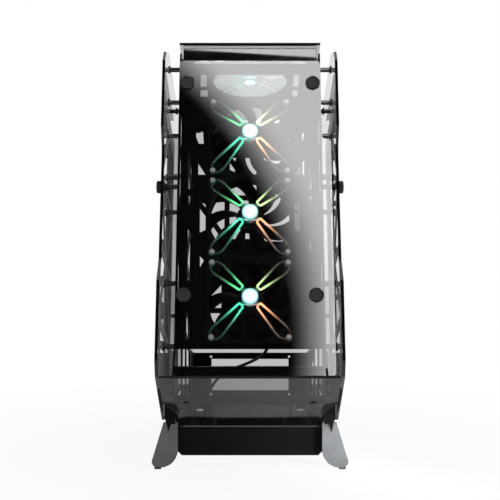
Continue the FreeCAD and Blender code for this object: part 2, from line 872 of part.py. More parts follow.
# Where the side glass is held: on the front, rear and top borders of the truss plate
border_front = truss_front + size.truss_border / 2
border_rear = rear_outer - size.truss_border / 2
side_knob_places = [
    core_point(border_front, size.knob_row),
    core_point(size.core_depth / 2, truss_top - size.truss_border),
    core_point(border_rear, size.rear_knob_high),
    core_point(border_rear, -size.rear_knob_low),
]
side_rod_places = side_knob_places + [
    core_point(border_front, size.rod_row_one),
    core_point(border_front, size.rod_row_two),
    core_point(border_front, size.rod_row_three),
    core_point(border_front, size.rod_row_four),
    core_point(border_front, size.rod_row_five),
    core_point(border_front, -size.rod_row_six),
    core_point(border_front, -size.rod_row_seven),
    on_cover(size.nose_rod_high, size.glass_gauge + size.truss_border),
    on_cover(size.nose_rod_low, size.glass_gauge + size.truss_border),
]


def side_glass(label, start):
    body = new_body(label)
    outline = [
        (-size.tip_front, size.tip_height), (-size.brow_front, size.brow_height),
        (-size.shoulder_front, size.shoulder_height), (-size.notch_front, size.notch_top),
        (-size.notch_front, size.notch_low), (-hip_front, size.hip_height),
        (-jaw_front, size.jaw_height), (-half_depth, size.nose_height),
        (-chin_front, size.chin_height), (-keel_front, size.keel_height),
        (keel_rear, size.keel_height), (half_depth, size.heel_height),
        (half_depth, size.tail_height), (waist_rear, size.waist_height),
        (crest_rear, size.crest_height), (crown_rear, size.crown_height),
        (-size.forehead_front, size.forehead_height),
    ]
    circles = [(place, stem_hole) for place in side_knob_places]
    add_plate(body, "YZ_Plane", start, size.glass_gauge, [outline], circles)


def side_rods(label, start):
    body = new_body(label)
    rods = [(place, size.rod_diameter) for place in side_rod_places]
    add_plate(body, "YZ_Plane", start, size.side_gap, (), rods)


def side_knobs(label, head_start, stem_start, face):
    body = new_body(label)
    heads = [(place, size.side_knob_diameter) for place in side_knob_places]
    base = add_plate(body, "YZ_Plane", head_start, size.side_knob_height, (), heads)
    round_rims(body, base, lambda middle: abs(middle.x - face.value) < 0.01, size.knob_round)
    stems = [(place, size.stem_diameter) for place in side_knob_places]
    add_plate(body, "YZ_Plane", stem_start, size.glass_gauge, (), stems)


def foot(label, side, front):
    """Blade foot with a flange on the truss plate: side is -1 left or 1 right, front is the fin's face."""
    body = new_body(label)
    low = size.pad_gauge
    outline = [(side * size.foot_inner, low), (side * size.foot_tip, low),
               (side * size.foot_top_outer, size.foot_top), (side * size.foot_inner, size.foot_top)]
    base = add_plate(body, "XZ_Plane", -(front + size.foot_gauge), size.foot_gauge, [outline])
    base = round_edges(body, base, outline[:1], size.foot_curve)
    round_edges(body, base, outline[1:2], size.foot_tip_round)
    flange_start = truss_outer if side > 0 else -(truss_outer + size.foot_gauge)
    to_front = front.value > 0
    flange_front = front - size.foot_flange if to_front else front + size.foot_gauge
    flange = rectangle(flange_front, flange_front + size.foot_flange, size.foot_flange_low, size.foot_top)
    add_plate(body, "YZ_Plane", flange_start, size.foot_gauge, [flange])


def foot_pads():
    body = new_body("foot_pads")
    pads = []
    for front in (-foot_front, psu_outer):
        middle = front + size.foot_gauge / 2
        half = size.pad_depth / 2
        pad = rectangle(size.pad_inner, size.pad_outer, middle - half, middle + half)
        pads += [pad, mirrored(pad)]
    add_plate(body, "XY_Plane", 0, size.pad_gauge, pads)


def foot_brackets():
    body = new_body("foot_brackets")
    tip = size.bracket_tip_x
    outline = [(truss_outer, size.bracket_low), (tip - size.bracket_barb, size.bracket_low),
               (tip, size.bracket_tip), (tip + size.bracket_barb / 2, size.bracket_low),
               (size.bracket_outer, size.bracket_low + size.bracket_barb * 2),
               (size.bracket_outer, size.bracket_top), (truss_outer, size.bracket_top)]
    add_plate(body, "XZ_Plane", foot_front, size.sheet_gauge, [outline, mirrored(outline)])


arm_reach = hole_half * root(as_size(2))
arm_shoulder = arm_reach - size.arm_end_back


def arm_half(out):
    """Half-width of a light arm at a distance from the hub."""
    half_root, half_end = size.arm_root_width / 2, size.arm_end_width / 2
    return half_root + (out - size.arm_root) * (half_end - half_root) / (arm_shoulder - size.arm_root)


def fan_body(label, place, turn):
    return new_body(label, place[0], place[1], turn)


def repeat_round(body, features, count):
    pattern = body.newObject("PartDesign::PolarPattern", "Round")
    pattern.Originals = features
    axis = next(item for item in body.Origin.OriginFeatures if item.Role == "Z_Axis")
    pattern.Axis = (axis, [""])
    pattern.Angle = 360
    pattern.Occurrences = count
    body.Tip = pattern
    return pattern


def fan_frame(name, place, turn):
    body = fan_body(f"fan_{name}_frame", place, turn)
    wide = size.fan_size - size.fan_gap
    add_plate(body, "XY_Plane", size.arm_gauge, size.fan_depth - size.arm_gauge, (),
              [((0, 0), wide), ((0, 0), size.fan_bore)])
    square = rectangle(-wide / 2, wide / 2, -wide / 2, wide / 2)
    circles = [((0, 0), size.fan_bore)] + [(centre, size.fan_hole) for centre in square_holes(0, 0)]
    for start in (size.arm_gauge, size.fan_depth - size.flange_gauge):
        add_plate(body, "XY_Plane", start, size.flange_gauge, [square], circles)
    bore = size.shaft_diameter + 2 * size.shaft_clearance
    motor = [((0, 0), size.motor_diameter), ((0, 0), bore)]
    add_plate(body, "XY_Plane", size.arm_gauge, size.motor_gauge, (), motor)
    near, far = size.strut_root, size.fan_bore / 2 + 1
    strut = new_sketch(body, "XY_Plane", size.arm_gauge, ARM_TURN)
    draw_polygon(strut, [(near, arm_half(near) - size.arm_leg), (far, arm_half(far) - size.arm_leg),
                         (far, arm_half(far)), (near, arm_half(near))])
    repeat_round(body, [extrude(body, strut, size.motor_gauge)], ARM_COUNT)


def fan_rotor(name, place, turn):
    body = fan_body(f"fan_{name}_rotor", place, turn)
    low = size.arm_gauge + size.motor_gauge + size.rotor_gap
    hub = add_plate(body, "XY_Plane", low, size.rotor_depth, (), [((0, 0), size.rotor_diameter)])
    round_rims(body, hub, lambda middle: middle.z > (low + size.rotor_depth).value - 0.01, size.knob_round)
    shaft_end = size.arm_gauge + size.shaft_clearance
    add_plate(body, "XY_Plane", shaft_end, low - shaft_end, (), [((0, 0), size.shaft_diameter)])
    middle = low + size.rotor_depth / 2
    half = size.blade_gauge / 2
    sections = []
    inside_hub = size.rotor_diameter / 2 - size.blade_gauge
    for reach, chord, pitch in ((inside_hub, size.root_chord, size.root_pitch),
                                (size.blade_reach, size.tip_chord, size.tip_pitch)):
        section = new_sketch(body, "YZ_Plane", reach, pitch, 0, middle)
        draw_polygon(section, rectangle(-chord / 2, chord / 2, -half, half))
        sections.append(section)
    blade = body.newObject("PartDesign::AdditiveLoft", "Blade")
    blade.Profile = sections[0]
    blade.Sections = sections[1:]
    blade.Ruled = True
    repeat_round(body, [blade], BLADE_COUNT)


def fan_light_arms(name, place, turn, rise):
    """Four loop arms that climb from the frame's corners to the hub, cut to shape from sloping strips."""
    body = fan_body(f"fan_{name}_light_arms", place, turn)
    gauge, turned = size.arm_gauge, as_size(ARM_TURN)
    add_plate(body, "XY_Plane", -rise, rise + gauge, (), [((0, 0), size.arm_hub)])
    near, tip = size.arm_root, arm_reach + size.arm_round
    half_end, half_tip = size.arm_end_width / 2, size.arm_tip_width / 2
    outside = half_end + 1
    inner = size.arm_hub / 2 - 1
    strip = new_sketch(body, "XZ_Plane", -outside * cosine(turned), turned, -outside * sine(turned), 0,
                       (0, 1, 0))
    draw_polygon(strip, [(inner, -rise), (near, -rise), (arm_shoulder, 0), (tip, 0), (tip, gauge),
                         (arm_shoulder, gauge), (near, gauge - rise), (inner, gauge - rise)])
    strip_pad = extrude(body, strip, 2 * outside)
    beside = [(near - 1, arm_half(near)), (near, arm_half(near)), (arm_shoulder, half_end),
              (arm_reach, half_end), (tip, half_tip), (tip + 1, half_tip), (tip + 1, outside + 1),
              (near - 1, outside + 1)]
    loop_near, loop_far = near + 2 * size.arm_round, arm_shoulder - size.arm_round
    upper = [(loop_near, half_tip / 2), (loop_near + size.arm_round, arm_half(loop_near) - size.arm_leg),
             (loop_far, arm_half(loop_far) - size.arm_leg), (loop_far + size.arm_round / 2, half_tip)]
    trim = new_sketch(body, "XY_Plane", -rise, turned)
    draw_polygon(trim, beside)
    draw_polygon(trim, [(x, -y) for x, y in beside])
    draw_polygon(trim, upper + [(x, -y) for x, y in upper[::-1]])
    draw_circle(trim, (arm_reach, 0), size.fan_hole)
    trim_cut = extrude(body, trim, rise + gauge, "PartDesign::Pocket", True)
    repeat_round(body, [strip_pad, trim_cut], ARM_COUNT)


def fan_hub_lens(name, place, turn, rise):
    body = fan_body(f"fan_{name}_hub_lens", place, turn)
    low = -rise - size.lens_height
    base = add_plate(body, "XY_Plane", low, size.lens_height, (), [((0, 0), size.lens_diameter)])
    face = low.value
    round_rims(body, base, lambda middle: middle.z < face + 0.01, size.lens_round)


def fan_screws():
    body = core_body("fan_screws")
    front = [centre for height in fan_heights.values() for centre in square_holes(0, height)]
    heads = [(centre, size.screw_head) for centre in front]
    add_plate(body, "XZ_Plane", -size.fan_set_back, size.screw_head_height, (), heads)
    shanks = [(centre, size.screw_shank) for centre in front]
    add_plate(body, "XZ_Plane", -plate_rear, plate_rear - size.fan_set_back, (), shanks)
    roof = square_holes(0, size.exhaust_set_back)
    add_plate(body, "XY_Plane", size.core_high - size.screw_head_height, size.screw_head_height, (),
              [(centre, size.screw_head) for centre in roof])
    add_plate(body, "XY_Plane", size.core_high, size.sheet_gauge + size.arm_gauge + size.flange_gauge, (),
              [(centre, size.screw_shank) for centre in roof])


box_low = top_upper
lid_low = top_upper + size.io_box_height - size.io_box_wall
lid_high = top_upper + size.io_box_height
box_middle = size.io_box_front + size.io_box_depth / 2
usb_middles = [size.usb_x, size.usb_x + size.usb_pitch]
socket_low = lid_high - size.usb_depth
flange_high = lid_low - size.button_clearance
flange_low = flange_high - size.button_flange_depth


def socket_outline(middle, room):
    return rectangle(middle - size.usb_length / 2 - room, middle + size.usb_length / 2 + room,
                     box_middle - size.usb_height / 2 - room, box_middle + size.usb_height / 2 + room)


def io_box():
    body = core_body("io_box")
    half, wall = size.io_box_width / 2, size.io_box_wall
    front, rear = size.io_box_front, size.io_box_front + size.io_box_depth
    outer = rectangle(-half, half, front, rear)
    inner = rectangle(wall - half, half - wall, front + wall, rear - wall)
    add_plate(body, "XY_Plane", box_low, size.io_box_height - wall, [outer, inner])
    room = 2 * size.button_clearance
    circles = [((size.power_x, box_middle), size.power_diameter + room),
               ((size.reset_x, box_middle), size.reset_diameter + room),
               ((size.audio_x, box_middle), size.audio_diameter + 2 * size.socket_room)]
    sockets = [socket_outline(middle, size.socket_room) for middle in usb_middles]
    add_plate(body, "XY_Plane", lid_low, wall, [outer] + sockets, circles)


def button(label, middle, diameter):
    body = core_body(label)
    add_plate(body, "XY_Plane", flange_low, size.button_flange_depth, (),
              [((middle, box_middle), diameter + 2 * size.button_flange)])
    height = lid_high + size.button_rise - flange_high
    add_plate(body, "XY_Plane", flange_high, height, (), [((middle, box_middle), diameter)])


def usb_sockets():
    body = core_body("usb_sockets")
    for middle in usb_middles:
        hollow = socket_outline(middle, -size.socket_wall)
        add_plate(body, "XY_Plane", socket_low, size.usb_depth, [socket_outline(middle, 0), hollow])
        back = socket_outline(middle, 0)
        add_plate(body, "XY_Plane", socket_low, size.socket_wall, [back])


def audio_socket():
    body = core_body("audio_socket")
    place = (size.audio_x, box_middle)
    rings = [(place, size.audio_diameter), (place, size.audio_bore)]
    add_plate(body, "XY_Plane", socket_low, size.usb_depth, (), rings)


def io_board():
    """Circuit board under the sockets, with a small switch block below each button."""
    body = core_body("io_board")
    half, wall = size.io_box_width / 2, size.io_box_wall
    outline = rectangle(wall - half, half - wall, size.io_box_front + wall,
                        size.io_box_front + size.io_box_depth - wall)
    add_plate(body, "XY_Plane", socket_low - size.board_gauge, size.board_gauge, [outline])
    switch_high = flange_low - size.button_travel - size.button_clearance
    half = size.switch_width / 2
    switches = [rectangle(middle - half, middle + half, box_middle - half, box_middle + half)
                for middle in (size.power_x, size.reset_x)]
    add_plate(body, "XY_Plane", socket_low, switch_high - socket_low, switches)


# Routes of the fan cables inside the case, chosen by hand, in the case frame
CABLE_ROUTES = {
    "fan_cable_front": [(28, -159, 176), (24, -131, 158), (13, -92, 145), (0, -40, 133), (-16, 14, 121),
                        (-36, 58, 110), (-56, 82, 94), (-68, 91, 68), (-73, 93, 42), (-73, 93, 18)],
    "fan_cable_side": [(86, -105, 357), (91, -113, 318), (84, -121, 279), (90, -136, 241), (85, -143, 201),
                       (89, -143, 163), (84, -128, 130), (74, -98, 104), (66, -60, 86), (63, -20, 72),
                       (62, 18, 55), (63, 42, 40), (64, 53, 29), (64, 53, 18)],
}


def cable(label, route):
    """Round cable along straight runs joined by arcs that touch both runs."""
    points = [FreeCAD.Vector(*point) for point in route]
    edges = []
    start = points[0]
    for before, corner, after in zip(points, points[1:], points[2:]):
        to_before, to_after = (before - corner), (after - corner)
        shorter = min(to_before.Length, to_after.Length)
        to_before.normalize()
        to_after.normalize()
        reach = BEND_SHARE * shorter
        half_turn = (math.pi - to_before.getAngle(to_after)) / 2
        radius = reach / math.tan(half_turn)
        print(f"{label}: bend radius {radius:.0f} mm")
        enter, leave = corner + to_before * reach, corner + to_after * reach
        inward = to_before + to_after
        inward.normalize()
        top = corner + inward * (radius / math.cos(half_turn) - radius)
        edges.append(Part.LineSegment(start, enter).toShape())
        edges.append(Part.Arc(enter, top, leave).toShape())
        start = leave
    edges.append(Part.LineSegment(start, points[-1]).toShape())
    path = Part.Wire(edges)
    circle = Part.makeCircle(size.cable_diameter.value / 2, points[0], points[1] - points[0])
    item = doc.addObject("Part::Feature", label)
    item.Label = label
    item.Shape = path.makePipeShell([Part.Wire([circle])], True, False)
    item.Placement = FreeCAD.Placement()
    bodies[label] = item
    print(f"{label}: {path.Length:.0f} mm long, volume {item.Shape.Volume:.0f} mm3, section times length "
          f"{math.pi / 4 * size.cable_diameter.value ** 2 * path.Length:.0f} mm3")


fan_plate()
top_plate()
rear_panel()
slot_covers()
motherboard_tray()
motherboard_standoffs()
truss_plate("left_truss_plate", -truss_outer)
truss_plate("right_truss_plate", half_inner)
bottom_tray()
psu_plate()
psu_shelf()
drive_plate()
cross_bar()
lower_cover()
cover_rail()
cover_screws()
front_glass()
front_posts()
front_knobs()
roof_glass()
roof_posts()
roof_screws()
glass_outer = glass_inner + size.glass_gauge
knob_outer = glass_outer + size.side_knob_height
side_glass("left_side_glass", -glass_outer)
side_glass("right_side_glass", glass_inner)
side_rods("left_side_rods", -glass_inner)
side_rods("right_side_rods", truss_outer)
side_knobs("left_side_knobs", -knob_outer, -glass_outer, -knob_outer)
side_knobs("right_side_knobs", glass_outer, glass_inner, knob_outer)
for side_name, side in (("left", -1), ("right", 1)):
    foot(f"front_{side_name}_foot", side, -foot_front)
    foot(f"rear_{side_name}_foot", side, psu_outer)
foot_pads()
foot_brackets()
fans = {name: (core_point(size.fan_set_back, height), 90 + size.lean, size.hub_rise)
        for name, height in fan_heights.items()}
fans["exhaust"] = (core_point(size.exhaust_set_back, top_upper), size.lean, 0 * size.hub_rise)
for fan_name, (fan_place, fan_turn, hub_rise) in fans.items():
    fan_frame(fan_name, fan_place, fan_turn)
    fan_rotor(fan_name, fan_place, fan_turn)
    fan_light_arms(fan_name, fan_place, fan_turn, hub_rise)
    fan_hub_lens(fan_name, fan_place, fan_turn, hub_rise)
fan_screws()
io_box()
button("power_button", size.power_x, size.power_diameter)
button("reset_button", size.reset_x, size.reset_diameter)
usb_sockets()
audio_socket()
io_board()
for cable_name, cable_route in CABLE_ROUTES.items():
    cable(cable_name, cable_route)

doc.recompute()
for item in doc.Objects:
    if "Invalid" in item.State or "Error" in item.State:
        raise RuntimeError(f"{item.Label} failed: {item.State}")
for label, body in bodies.items():
    if body.Shape.isNull() or not body.Shape.isValid():
        raise RuntimeError(f"{label} has no valid shape")

os.makedirs("parts", exist_ok=True)
for label, body in bodies.items():
    body.Shape.exportStep(f"parts/{label}.step")
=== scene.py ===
# %% [markdown]
# # Open-frame computer case
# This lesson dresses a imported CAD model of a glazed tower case. The solids stay exactly where the
# frame puts them. We give each one the finish of its real material, swap the small turned and moulded
# pieces for more detailed ones, and light the whole as a product shot on white.

# %% Load the frame
import math

import bmesh
import bpy
from mathutils import Matrix, Vector


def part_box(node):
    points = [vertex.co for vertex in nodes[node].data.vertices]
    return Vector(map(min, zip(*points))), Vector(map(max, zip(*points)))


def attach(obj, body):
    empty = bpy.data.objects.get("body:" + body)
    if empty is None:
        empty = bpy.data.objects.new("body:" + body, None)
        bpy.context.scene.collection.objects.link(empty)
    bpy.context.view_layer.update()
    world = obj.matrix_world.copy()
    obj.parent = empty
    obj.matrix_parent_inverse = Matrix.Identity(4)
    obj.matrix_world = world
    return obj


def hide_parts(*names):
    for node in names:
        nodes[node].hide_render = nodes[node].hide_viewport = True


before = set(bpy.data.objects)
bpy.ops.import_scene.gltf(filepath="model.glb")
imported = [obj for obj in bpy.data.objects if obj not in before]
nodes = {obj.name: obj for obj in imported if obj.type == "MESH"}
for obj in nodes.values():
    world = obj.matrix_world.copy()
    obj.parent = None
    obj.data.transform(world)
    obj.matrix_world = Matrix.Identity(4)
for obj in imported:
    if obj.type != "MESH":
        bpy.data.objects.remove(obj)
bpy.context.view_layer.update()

# %% [markdown]
# ## Camera
# The photograph looks straight at the front from 300 mm above the floor. Its perspective fits a camera
# about 1.66 m in front of the middle of the case with a long lens, so verticals stay vertical and no
# shift is needed. Field of view follows from focal length and sensor: 500 px span 36 mm, and one
# metre at one metre covers 1090 px.

# %% Place the camera
PIXELS_PER_UNIT, IMAGE_WIDTH, SENSOR_WIDTH = 1090, 500, 36
CAMERA_PLACE = (0, -1.659, 0.300)
camera_data = bpy.data.cameras.new("camera")
camera_data.sensor_width = SENSOR_WIDTH
camera_data.lens = SENSOR_WIDTH * PIXELS_PER_UNIT / IMAGE_WIDTH
camera = bpy.data.objects.new("camera", camera_data)
camera.location = CAMERA_PLACE
camera.rotation_euler = (math.radians(90), 0, 0)
bpy.context.scene.collection.objects.link(camera)
bpy.context.scene.camera = camera
bpy.context.scene.view_settings.view_transform = "Standard"
print("lens in mm:", round(camera_data.lens, 2))

# %% [markdown]
# ## Helpers for all materials
# Colours are written as sRGB hex, the way a designer picks them, and Blender wants linear light, so one
# function converts. A second one adds a node, sets it up and links it, which keeps every material to a
# few readable lines. The other two start a material and fill a colour ramp.

# %% Colour and node helpers
MM = 0.001
WHITE = (1, 1, 1, 1)


def linear(hex_colour):
    channels = [int(hex_colour[i:i + 2], 16) / 255 for i in (1, 3, 5)]
    return [c / 12.92 if c <= 0.04045 else ((c + 0.055) / 1.055) ** 2.4 for c in channels] + [1.0]


def add_node(tree, kind, inputs=None, **settings):
    made = tree.nodes.new("ShaderNode" + kind)
    for name, value in settings.items():
        setattr(made, name, value)
    for name, value in (inputs or {}).items():
        if isinstance(value, bpy.types.NodeSocket):
            tree.links.new(value, made.inputs[name])
        else:
            made.inputs[name].default_value = value
    return made


def new_material(name, values):
    material = bpy.data.materials.new(name)
    material.use_nodes = True
    shader = material.node_tree.nodes["Principled BSDF"]
    for socket, value in values.items():
        shader.inputs[socket].default_value = value
    return material, material.node_tree, shader


def set_ramp(ramp_node, stops, interpolation="LINEAR"):
    ramp = ramp_node.color_ramp
    ramp.interpolation = interpolation
    while len(ramp.elements) < len(stops):
        ramp.elements.new(1.0)
    for element, (position, colour) in zip(ramp.elements, stops):
        element.position = position
        element.color = colour


print("black in linear light:", [round(c, 4) for c in linear("#111112")])

# %% [markdown]
# ## White studio
# The photograph is cut out on pure white. The world shows white to the camera, and to rays that leave
# through glass, while it lights the case only softly. A mirror sees white behind the case and the
# darker half of the studio in front, which is why the front glass can read as black. The back face of
# a pane mirrors too, by rays that bounce once inside the glass and leave again, so those meet a black
# flag that hangs above the camera.

# %% World
ROOM_LIGHT, DARK_LIGHT = 0.4, 0.06
DARK_DEPTH, WHITE_DEPTH = -0.55, 0.1
FLAG_SIDE = Vector((0, -0.83, 0.56))
FLAG_EDGE, FLAG_CORE = 0.7, 0.88
ONE_MIRROR, TWO_FACES = 0.5, 2.5
world = bpy.data.worlds.new("studio")
bpy.context.scene.world = world
world.use_nodes = True
tree = world.node_tree
rays = add_node(tree, "LightPath").outputs
direction = add_node(tree, "TexCoord").outputs["Generated"]
depth = add_node(tree, "SeparateXYZ", {0: direction}).outputs["Y"]
in_mirror = add_node(tree, "MapRange", {"Value": depth, "From Min": DARK_DEPTH, "From Max": WHITE_DEPTH,
                                        "To Min": DARK_LIGHT, "To Max": 1.0})
to_flag = add_node(tree, "VectorMath", {0: direction, 1: FLAG_SIDE}, operation="DOT_PRODUCT").outputs["Value"]
flagged = add_node(tree, "MapRange", {"Value": to_flag, "From Min": FLAG_EDGE, "From Max": FLAG_CORE,
                                      "To Min": 1.0, "To Max": DARK_LIGHT})
mirrored = add_node(tree, "Math", {0: rays["Glossy Depth"], 1: ONE_MIRROR}, operation="GREATER_THAN")
in_pane = add_node(tree, "Math", {0: rays["Transmission Depth"], 1: TWO_FACES}, operation="LESS_THAN")
off_back_face = add_node(tree, "Math", {0: mirrored.outputs[0], 1: in_pane.outputs[0]}, operation="MULTIPLY")
through_glass = add_node(tree, "Mix", {0: off_back_face.outputs[0], 2: 1.0, 3: flagged.outputs[0]})
lit = add_node(tree, "Mix", {0: rays["Is Glossy Ray"], 2: ROOM_LIGHT, 3: in_mirror.outputs[0]})
lit = add_node(tree, "Mix", {0: rays["Is Transmission Ray"], 2: lit.outputs[0], 3: through_glass.outputs[0]})
strength = add_node(tree, "Mix", {0: rays["Is Camera Ray"], 2: lit.outputs[0], 3: 1.0})
background = tree.nodes["Background"]
background.inputs["Color"].default_value = WHITE
tree.links.new(strength.outputs[0], background.inputs["Strength"])
print("world nodes:", len(tree.nodes))

# %% [markdown]
# ## Floor
# A floor that is lit the ordinary way goes grey towards the horizon. Here the middle of the floor is a
# pale diffuse sheet mixed with its own white, so that the soft shadow of the case stays, and further out
# the white takes over until floor and background meet without a line.

# %% Floor
FLOOR_SIZE = 8
WHITE_NEAR, WHITE_FAR, NEAR_SHARE = 0.3, 0.9, 0.9
FLOOR_IN_MIRROR = 0.2
floor_mesh = bpy.data.meshes.new("floor")
builder = bmesh.new()
bmesh.ops.create_grid(builder, x_segments=1, y_segments=1, size=FLOOR_SIZE)
builder.to_mesh(floor_mesh)
builder.free()
floor = bpy.data.objects.new("floor", floor_mesh)
bpy.context.scene.collection.objects.link(floor)

material, tree, shader = new_material("pale_paper_sweep", {"Base Color": linear("#f4f4f4"), "Roughness": 0.9})
rays = add_node(tree, "LightPath").outputs
place = add_node(tree, "TexCoord").outputs["Object"]
reach = add_node(tree, "VectorMath", {0: place}, operation="LENGTH").outputs["Value"]
share = add_node(tree, "MapRange", {"Value": reach, "From Min": WHITE_NEAR, "From Max": WHITE_FAR,
                                    "To Min": NEAR_SHARE, "To Max": 1.0})
seen = add_node(tree, "Math", {0: rays["Is Camera Ray"], 1: rays["Is Transmission Ray"]}, operation="MAXIMUM")
mirrored = add_node(tree, "Math", {0: rays["Is Glossy Ray"], 1: FLOOR_IN_MIRROR}, operation="MULTIPLY")
seen = add_node(tree, "Math", {0: seen.outputs[0], 1: mirrored.outputs[0]}, operation="MAXIMUM")
share = add_node(tree, "Math", {0: share.outputs[0], 1: seen.outputs[0]}, operation="MULTIPLY")
glow = add_node(tree, "Emission", {"Color": WHITE, "Strength": 1.0})
mixed = add_node(tree, "MixShader", {0: share.outputs[0], 1: shader.outputs[0], 2: glow.outputs[0]})
tree.links.new(mixed.outputs[0], tree.nodes["Material Output"].inputs["Surface"])
floor_mesh.materials.append(material)
print("floor is", floor.dimensions.x, "m wide")

# %% [markdown]
# ## The lamp that the front glass mirrors
# A soft grey veil lies over the upper right of the front glass in the photograph. It is a large
# diffuser in front of and above the case, seen in the pane. We hang a sheet parallel to the glass, as
# far in front of it as the camera is, so that one millimetre on the pane meets two on the sheet. Its
# brightness grows across an arc, as the falloff of a lamp behind cloth does. It is there for mirrors
# only: diffuse surfaces and rays that come out through a pane don't meet it.

# %% Diffuser sheet
LEAN = math.radians(17)
TO_REAR = Vector((0, math.cos(LEAN), -math.sin(LEAN)))
UP_PLATE = Vector((0, math.sin(LEAN), math.cos(LEAN)))
CORE = Vector((0, -148, 349)) * MM
SHEET_DISTANCE, SHEET_RISE = 1.43, 0.488
SHEET_HALF, SHEET_LOW, SHEET_HIGH = 0.23, -0.5, 0.47
DARK_CENTRE = Vector((-0.934, -0.376, 0))
ARC_START, ARC_END, CLOTH_LIGHT = 1.037, 1.192, 10.4
sheet_middle = CORE - TO_REAR * SHEET_DISTANCE + UP_PLATE * SHEET_RISE


def hang_sheet(name, corners, material):
    """A flat sheet that only mirrors see, with its corners given in the plane of the sheet."""
    builder = bmesh.new()
    builder.faces.new([builder.verts.new((across, up, 0)) for across, up in corners])
    mesh = bpy.data.meshes.new(name)
    builder.to_mesh(mesh)
    builder.free()
    mesh.materials.append(material)
    sheet = bpy.data.objects.new(name, mesh)
    bpy.context.scene.collection.objects.link(sheet)
    sheet.location = sheet_middle
    sheet.rotation_euler = (math.radians(90) - LEAN, 0, 0)
    for kind in ("camera", "diffuse", "transmission", "shadow"):
        setattr(sheet, f"visible_{kind}", False)


def lamp_material(name):
    """Bare white light, with the socket that sets its strength."""
    material, tree, _ = new_material(name, {})
    glow = add_node(tree, "Emission", {"Color": WHITE})
    tree.links.new(glow.outputs[0], tree.nodes["Material Output"].inputs["Surface"])
    return material, tree, glow.inputs["Strength"]


cloth, tree, cloth_strength = lamp_material("lamp_diffuser_cloth")
place = add_node(tree, "TexCoord").outputs["Object"]
away = add_node(tree, "VectorMath", {0: place, 1: DARK_CENTRE}, operation="DISTANCE").outputs["Value"]
fall = add_node(tree, "MapRange", {"Value": away, "From Min": ARC_START, "From Max": ARC_END,
                                   "To Min": 0.0, "To Max": CLOTH_LIGHT}, interpolation_type="SMOOTHSTEP")
tree.links.new(fall.outputs[0], cloth_strength)
hang_sheet("diffuser", [(-SHEET_HALF, SHEET_LOW), (SHEET_HALF, SHEET_LOW), (SHEET_HALF, SHEET_HIGH),
                        (-SHEET_HALF, SHEET_HIGH)], cloth)
print("diffuser middle:", [round(v, 3) for v in sheet_middle])

# %% [markdown]
# ## The wedge of light in the lip
# Above the glass, the lip of the top plate mirrors a second, narrow lamp. A black flag cuts it on the
# slant, so its reflection is a long wedge that thins towards the left. Above the wedge, the slit
# between two flags draws one thin white line. Only the lit shapes are hung here.

# %% Wedge lamp
WEDGE_LIGHT = 13.0
STRIP_HALF = 0.21
WEDGE_LEFT, WEDGE_RIGHT, WEDGE_TOP = 0.5232, 0.4948, 0.5235
SLIT_LOW, SLIT_HIGH = 0.5265, 0.532
bare_lamp, _, bare_strength = lamp_material("bare_strip_lamp")
bare_strength.default_value = WEDGE_LIGHT
hang_sheet("wedge_lamp", [(-STRIP_HALF, WEDGE_LEFT), (STRIP_HALF, WEDGE_RIGHT), (STRIP_HALF, WEDGE_TOP),
                          (-STRIP_HALF, WEDGE_TOP)], bare_lamp)
hang_sheet("slit_lamp", [(-STRIP_HALF, SLIT_LOW), (STRIP_HALF, SLIT_LOW), (STRIP_HALF, SLIT_HIGH),
                         (-STRIP_HALF, SLIT_HIGH)], bare_lamp)
print("wedge lamp width:", 2 * STRIP_HALF)

# %% [markdown]
# ## Side and back lamps
# Two broad lamps light the flanks, the right one larger and stronger, because the right feet are paler
# in the photograph. A third from behind and above draws thin bright lines along edges and rods, and a
# small one with a narrow beam lifts the right front foot.

# %% Lamps
CASE_MIDDLE, RIGHT_FOOT = Vector((0, 0, 0.28)), Vector((0.13, -0.17, 0.04))
WIDE, NARROW = 180, 14
LAMPS = [("right_lamp", (1.3, -1.5, 0.9), 2.0, 22, CASE_MIDDLE, WIDE),
         ("left_lamp", (-1.8, -0.8, 1.0), 1.0, 4, CASE_MIDDLE, WIDE),
         ("back_lamp", (0.3, 1.6, 1.7), 1.2, 14, CASE_MIDDLE, WIDE),
         ("foot_lamp", (0.75, -1.0, 0.25), 0.15, 0.26, RIGHT_FOOT, NARROW)]
for name, place, width, watts, target, spread in LAMPS:
    lamp_data = bpy.data.lights.new(name, "AREA")
    lamp_data.size = width
    lamp_data.energy = watts
    lamp_data.spread = math.radians(spread)
    lamp = bpy.data.objects.new(name, lamp_data)
    lamp.location = place
    lamp.rotation_euler = (target - Vector(place)).to_track_quat("-Z", "Y").to_euler()
    bpy.context.scene.collection.objects.link(lamp)
print("lamps:", [entry[0] for entry in LAMPS])

# %% [markdown]
# ## Coated steel
# The plates are folded sheet with a black powder coat. Powder melts into a skin with a fine orange peel,
# so reflections are soft and a little uneven. Noise gives the peel a grain of about 0.9 mm, and
# the Bevel node rounds every sheared edge by a fraction of a millimetre, so that edges catch light. The
# same skin, with other grain, gloss and colour, serves the metals and plastics that follow.

# %% Powder-coated steel
PATCH_SIZE = 35


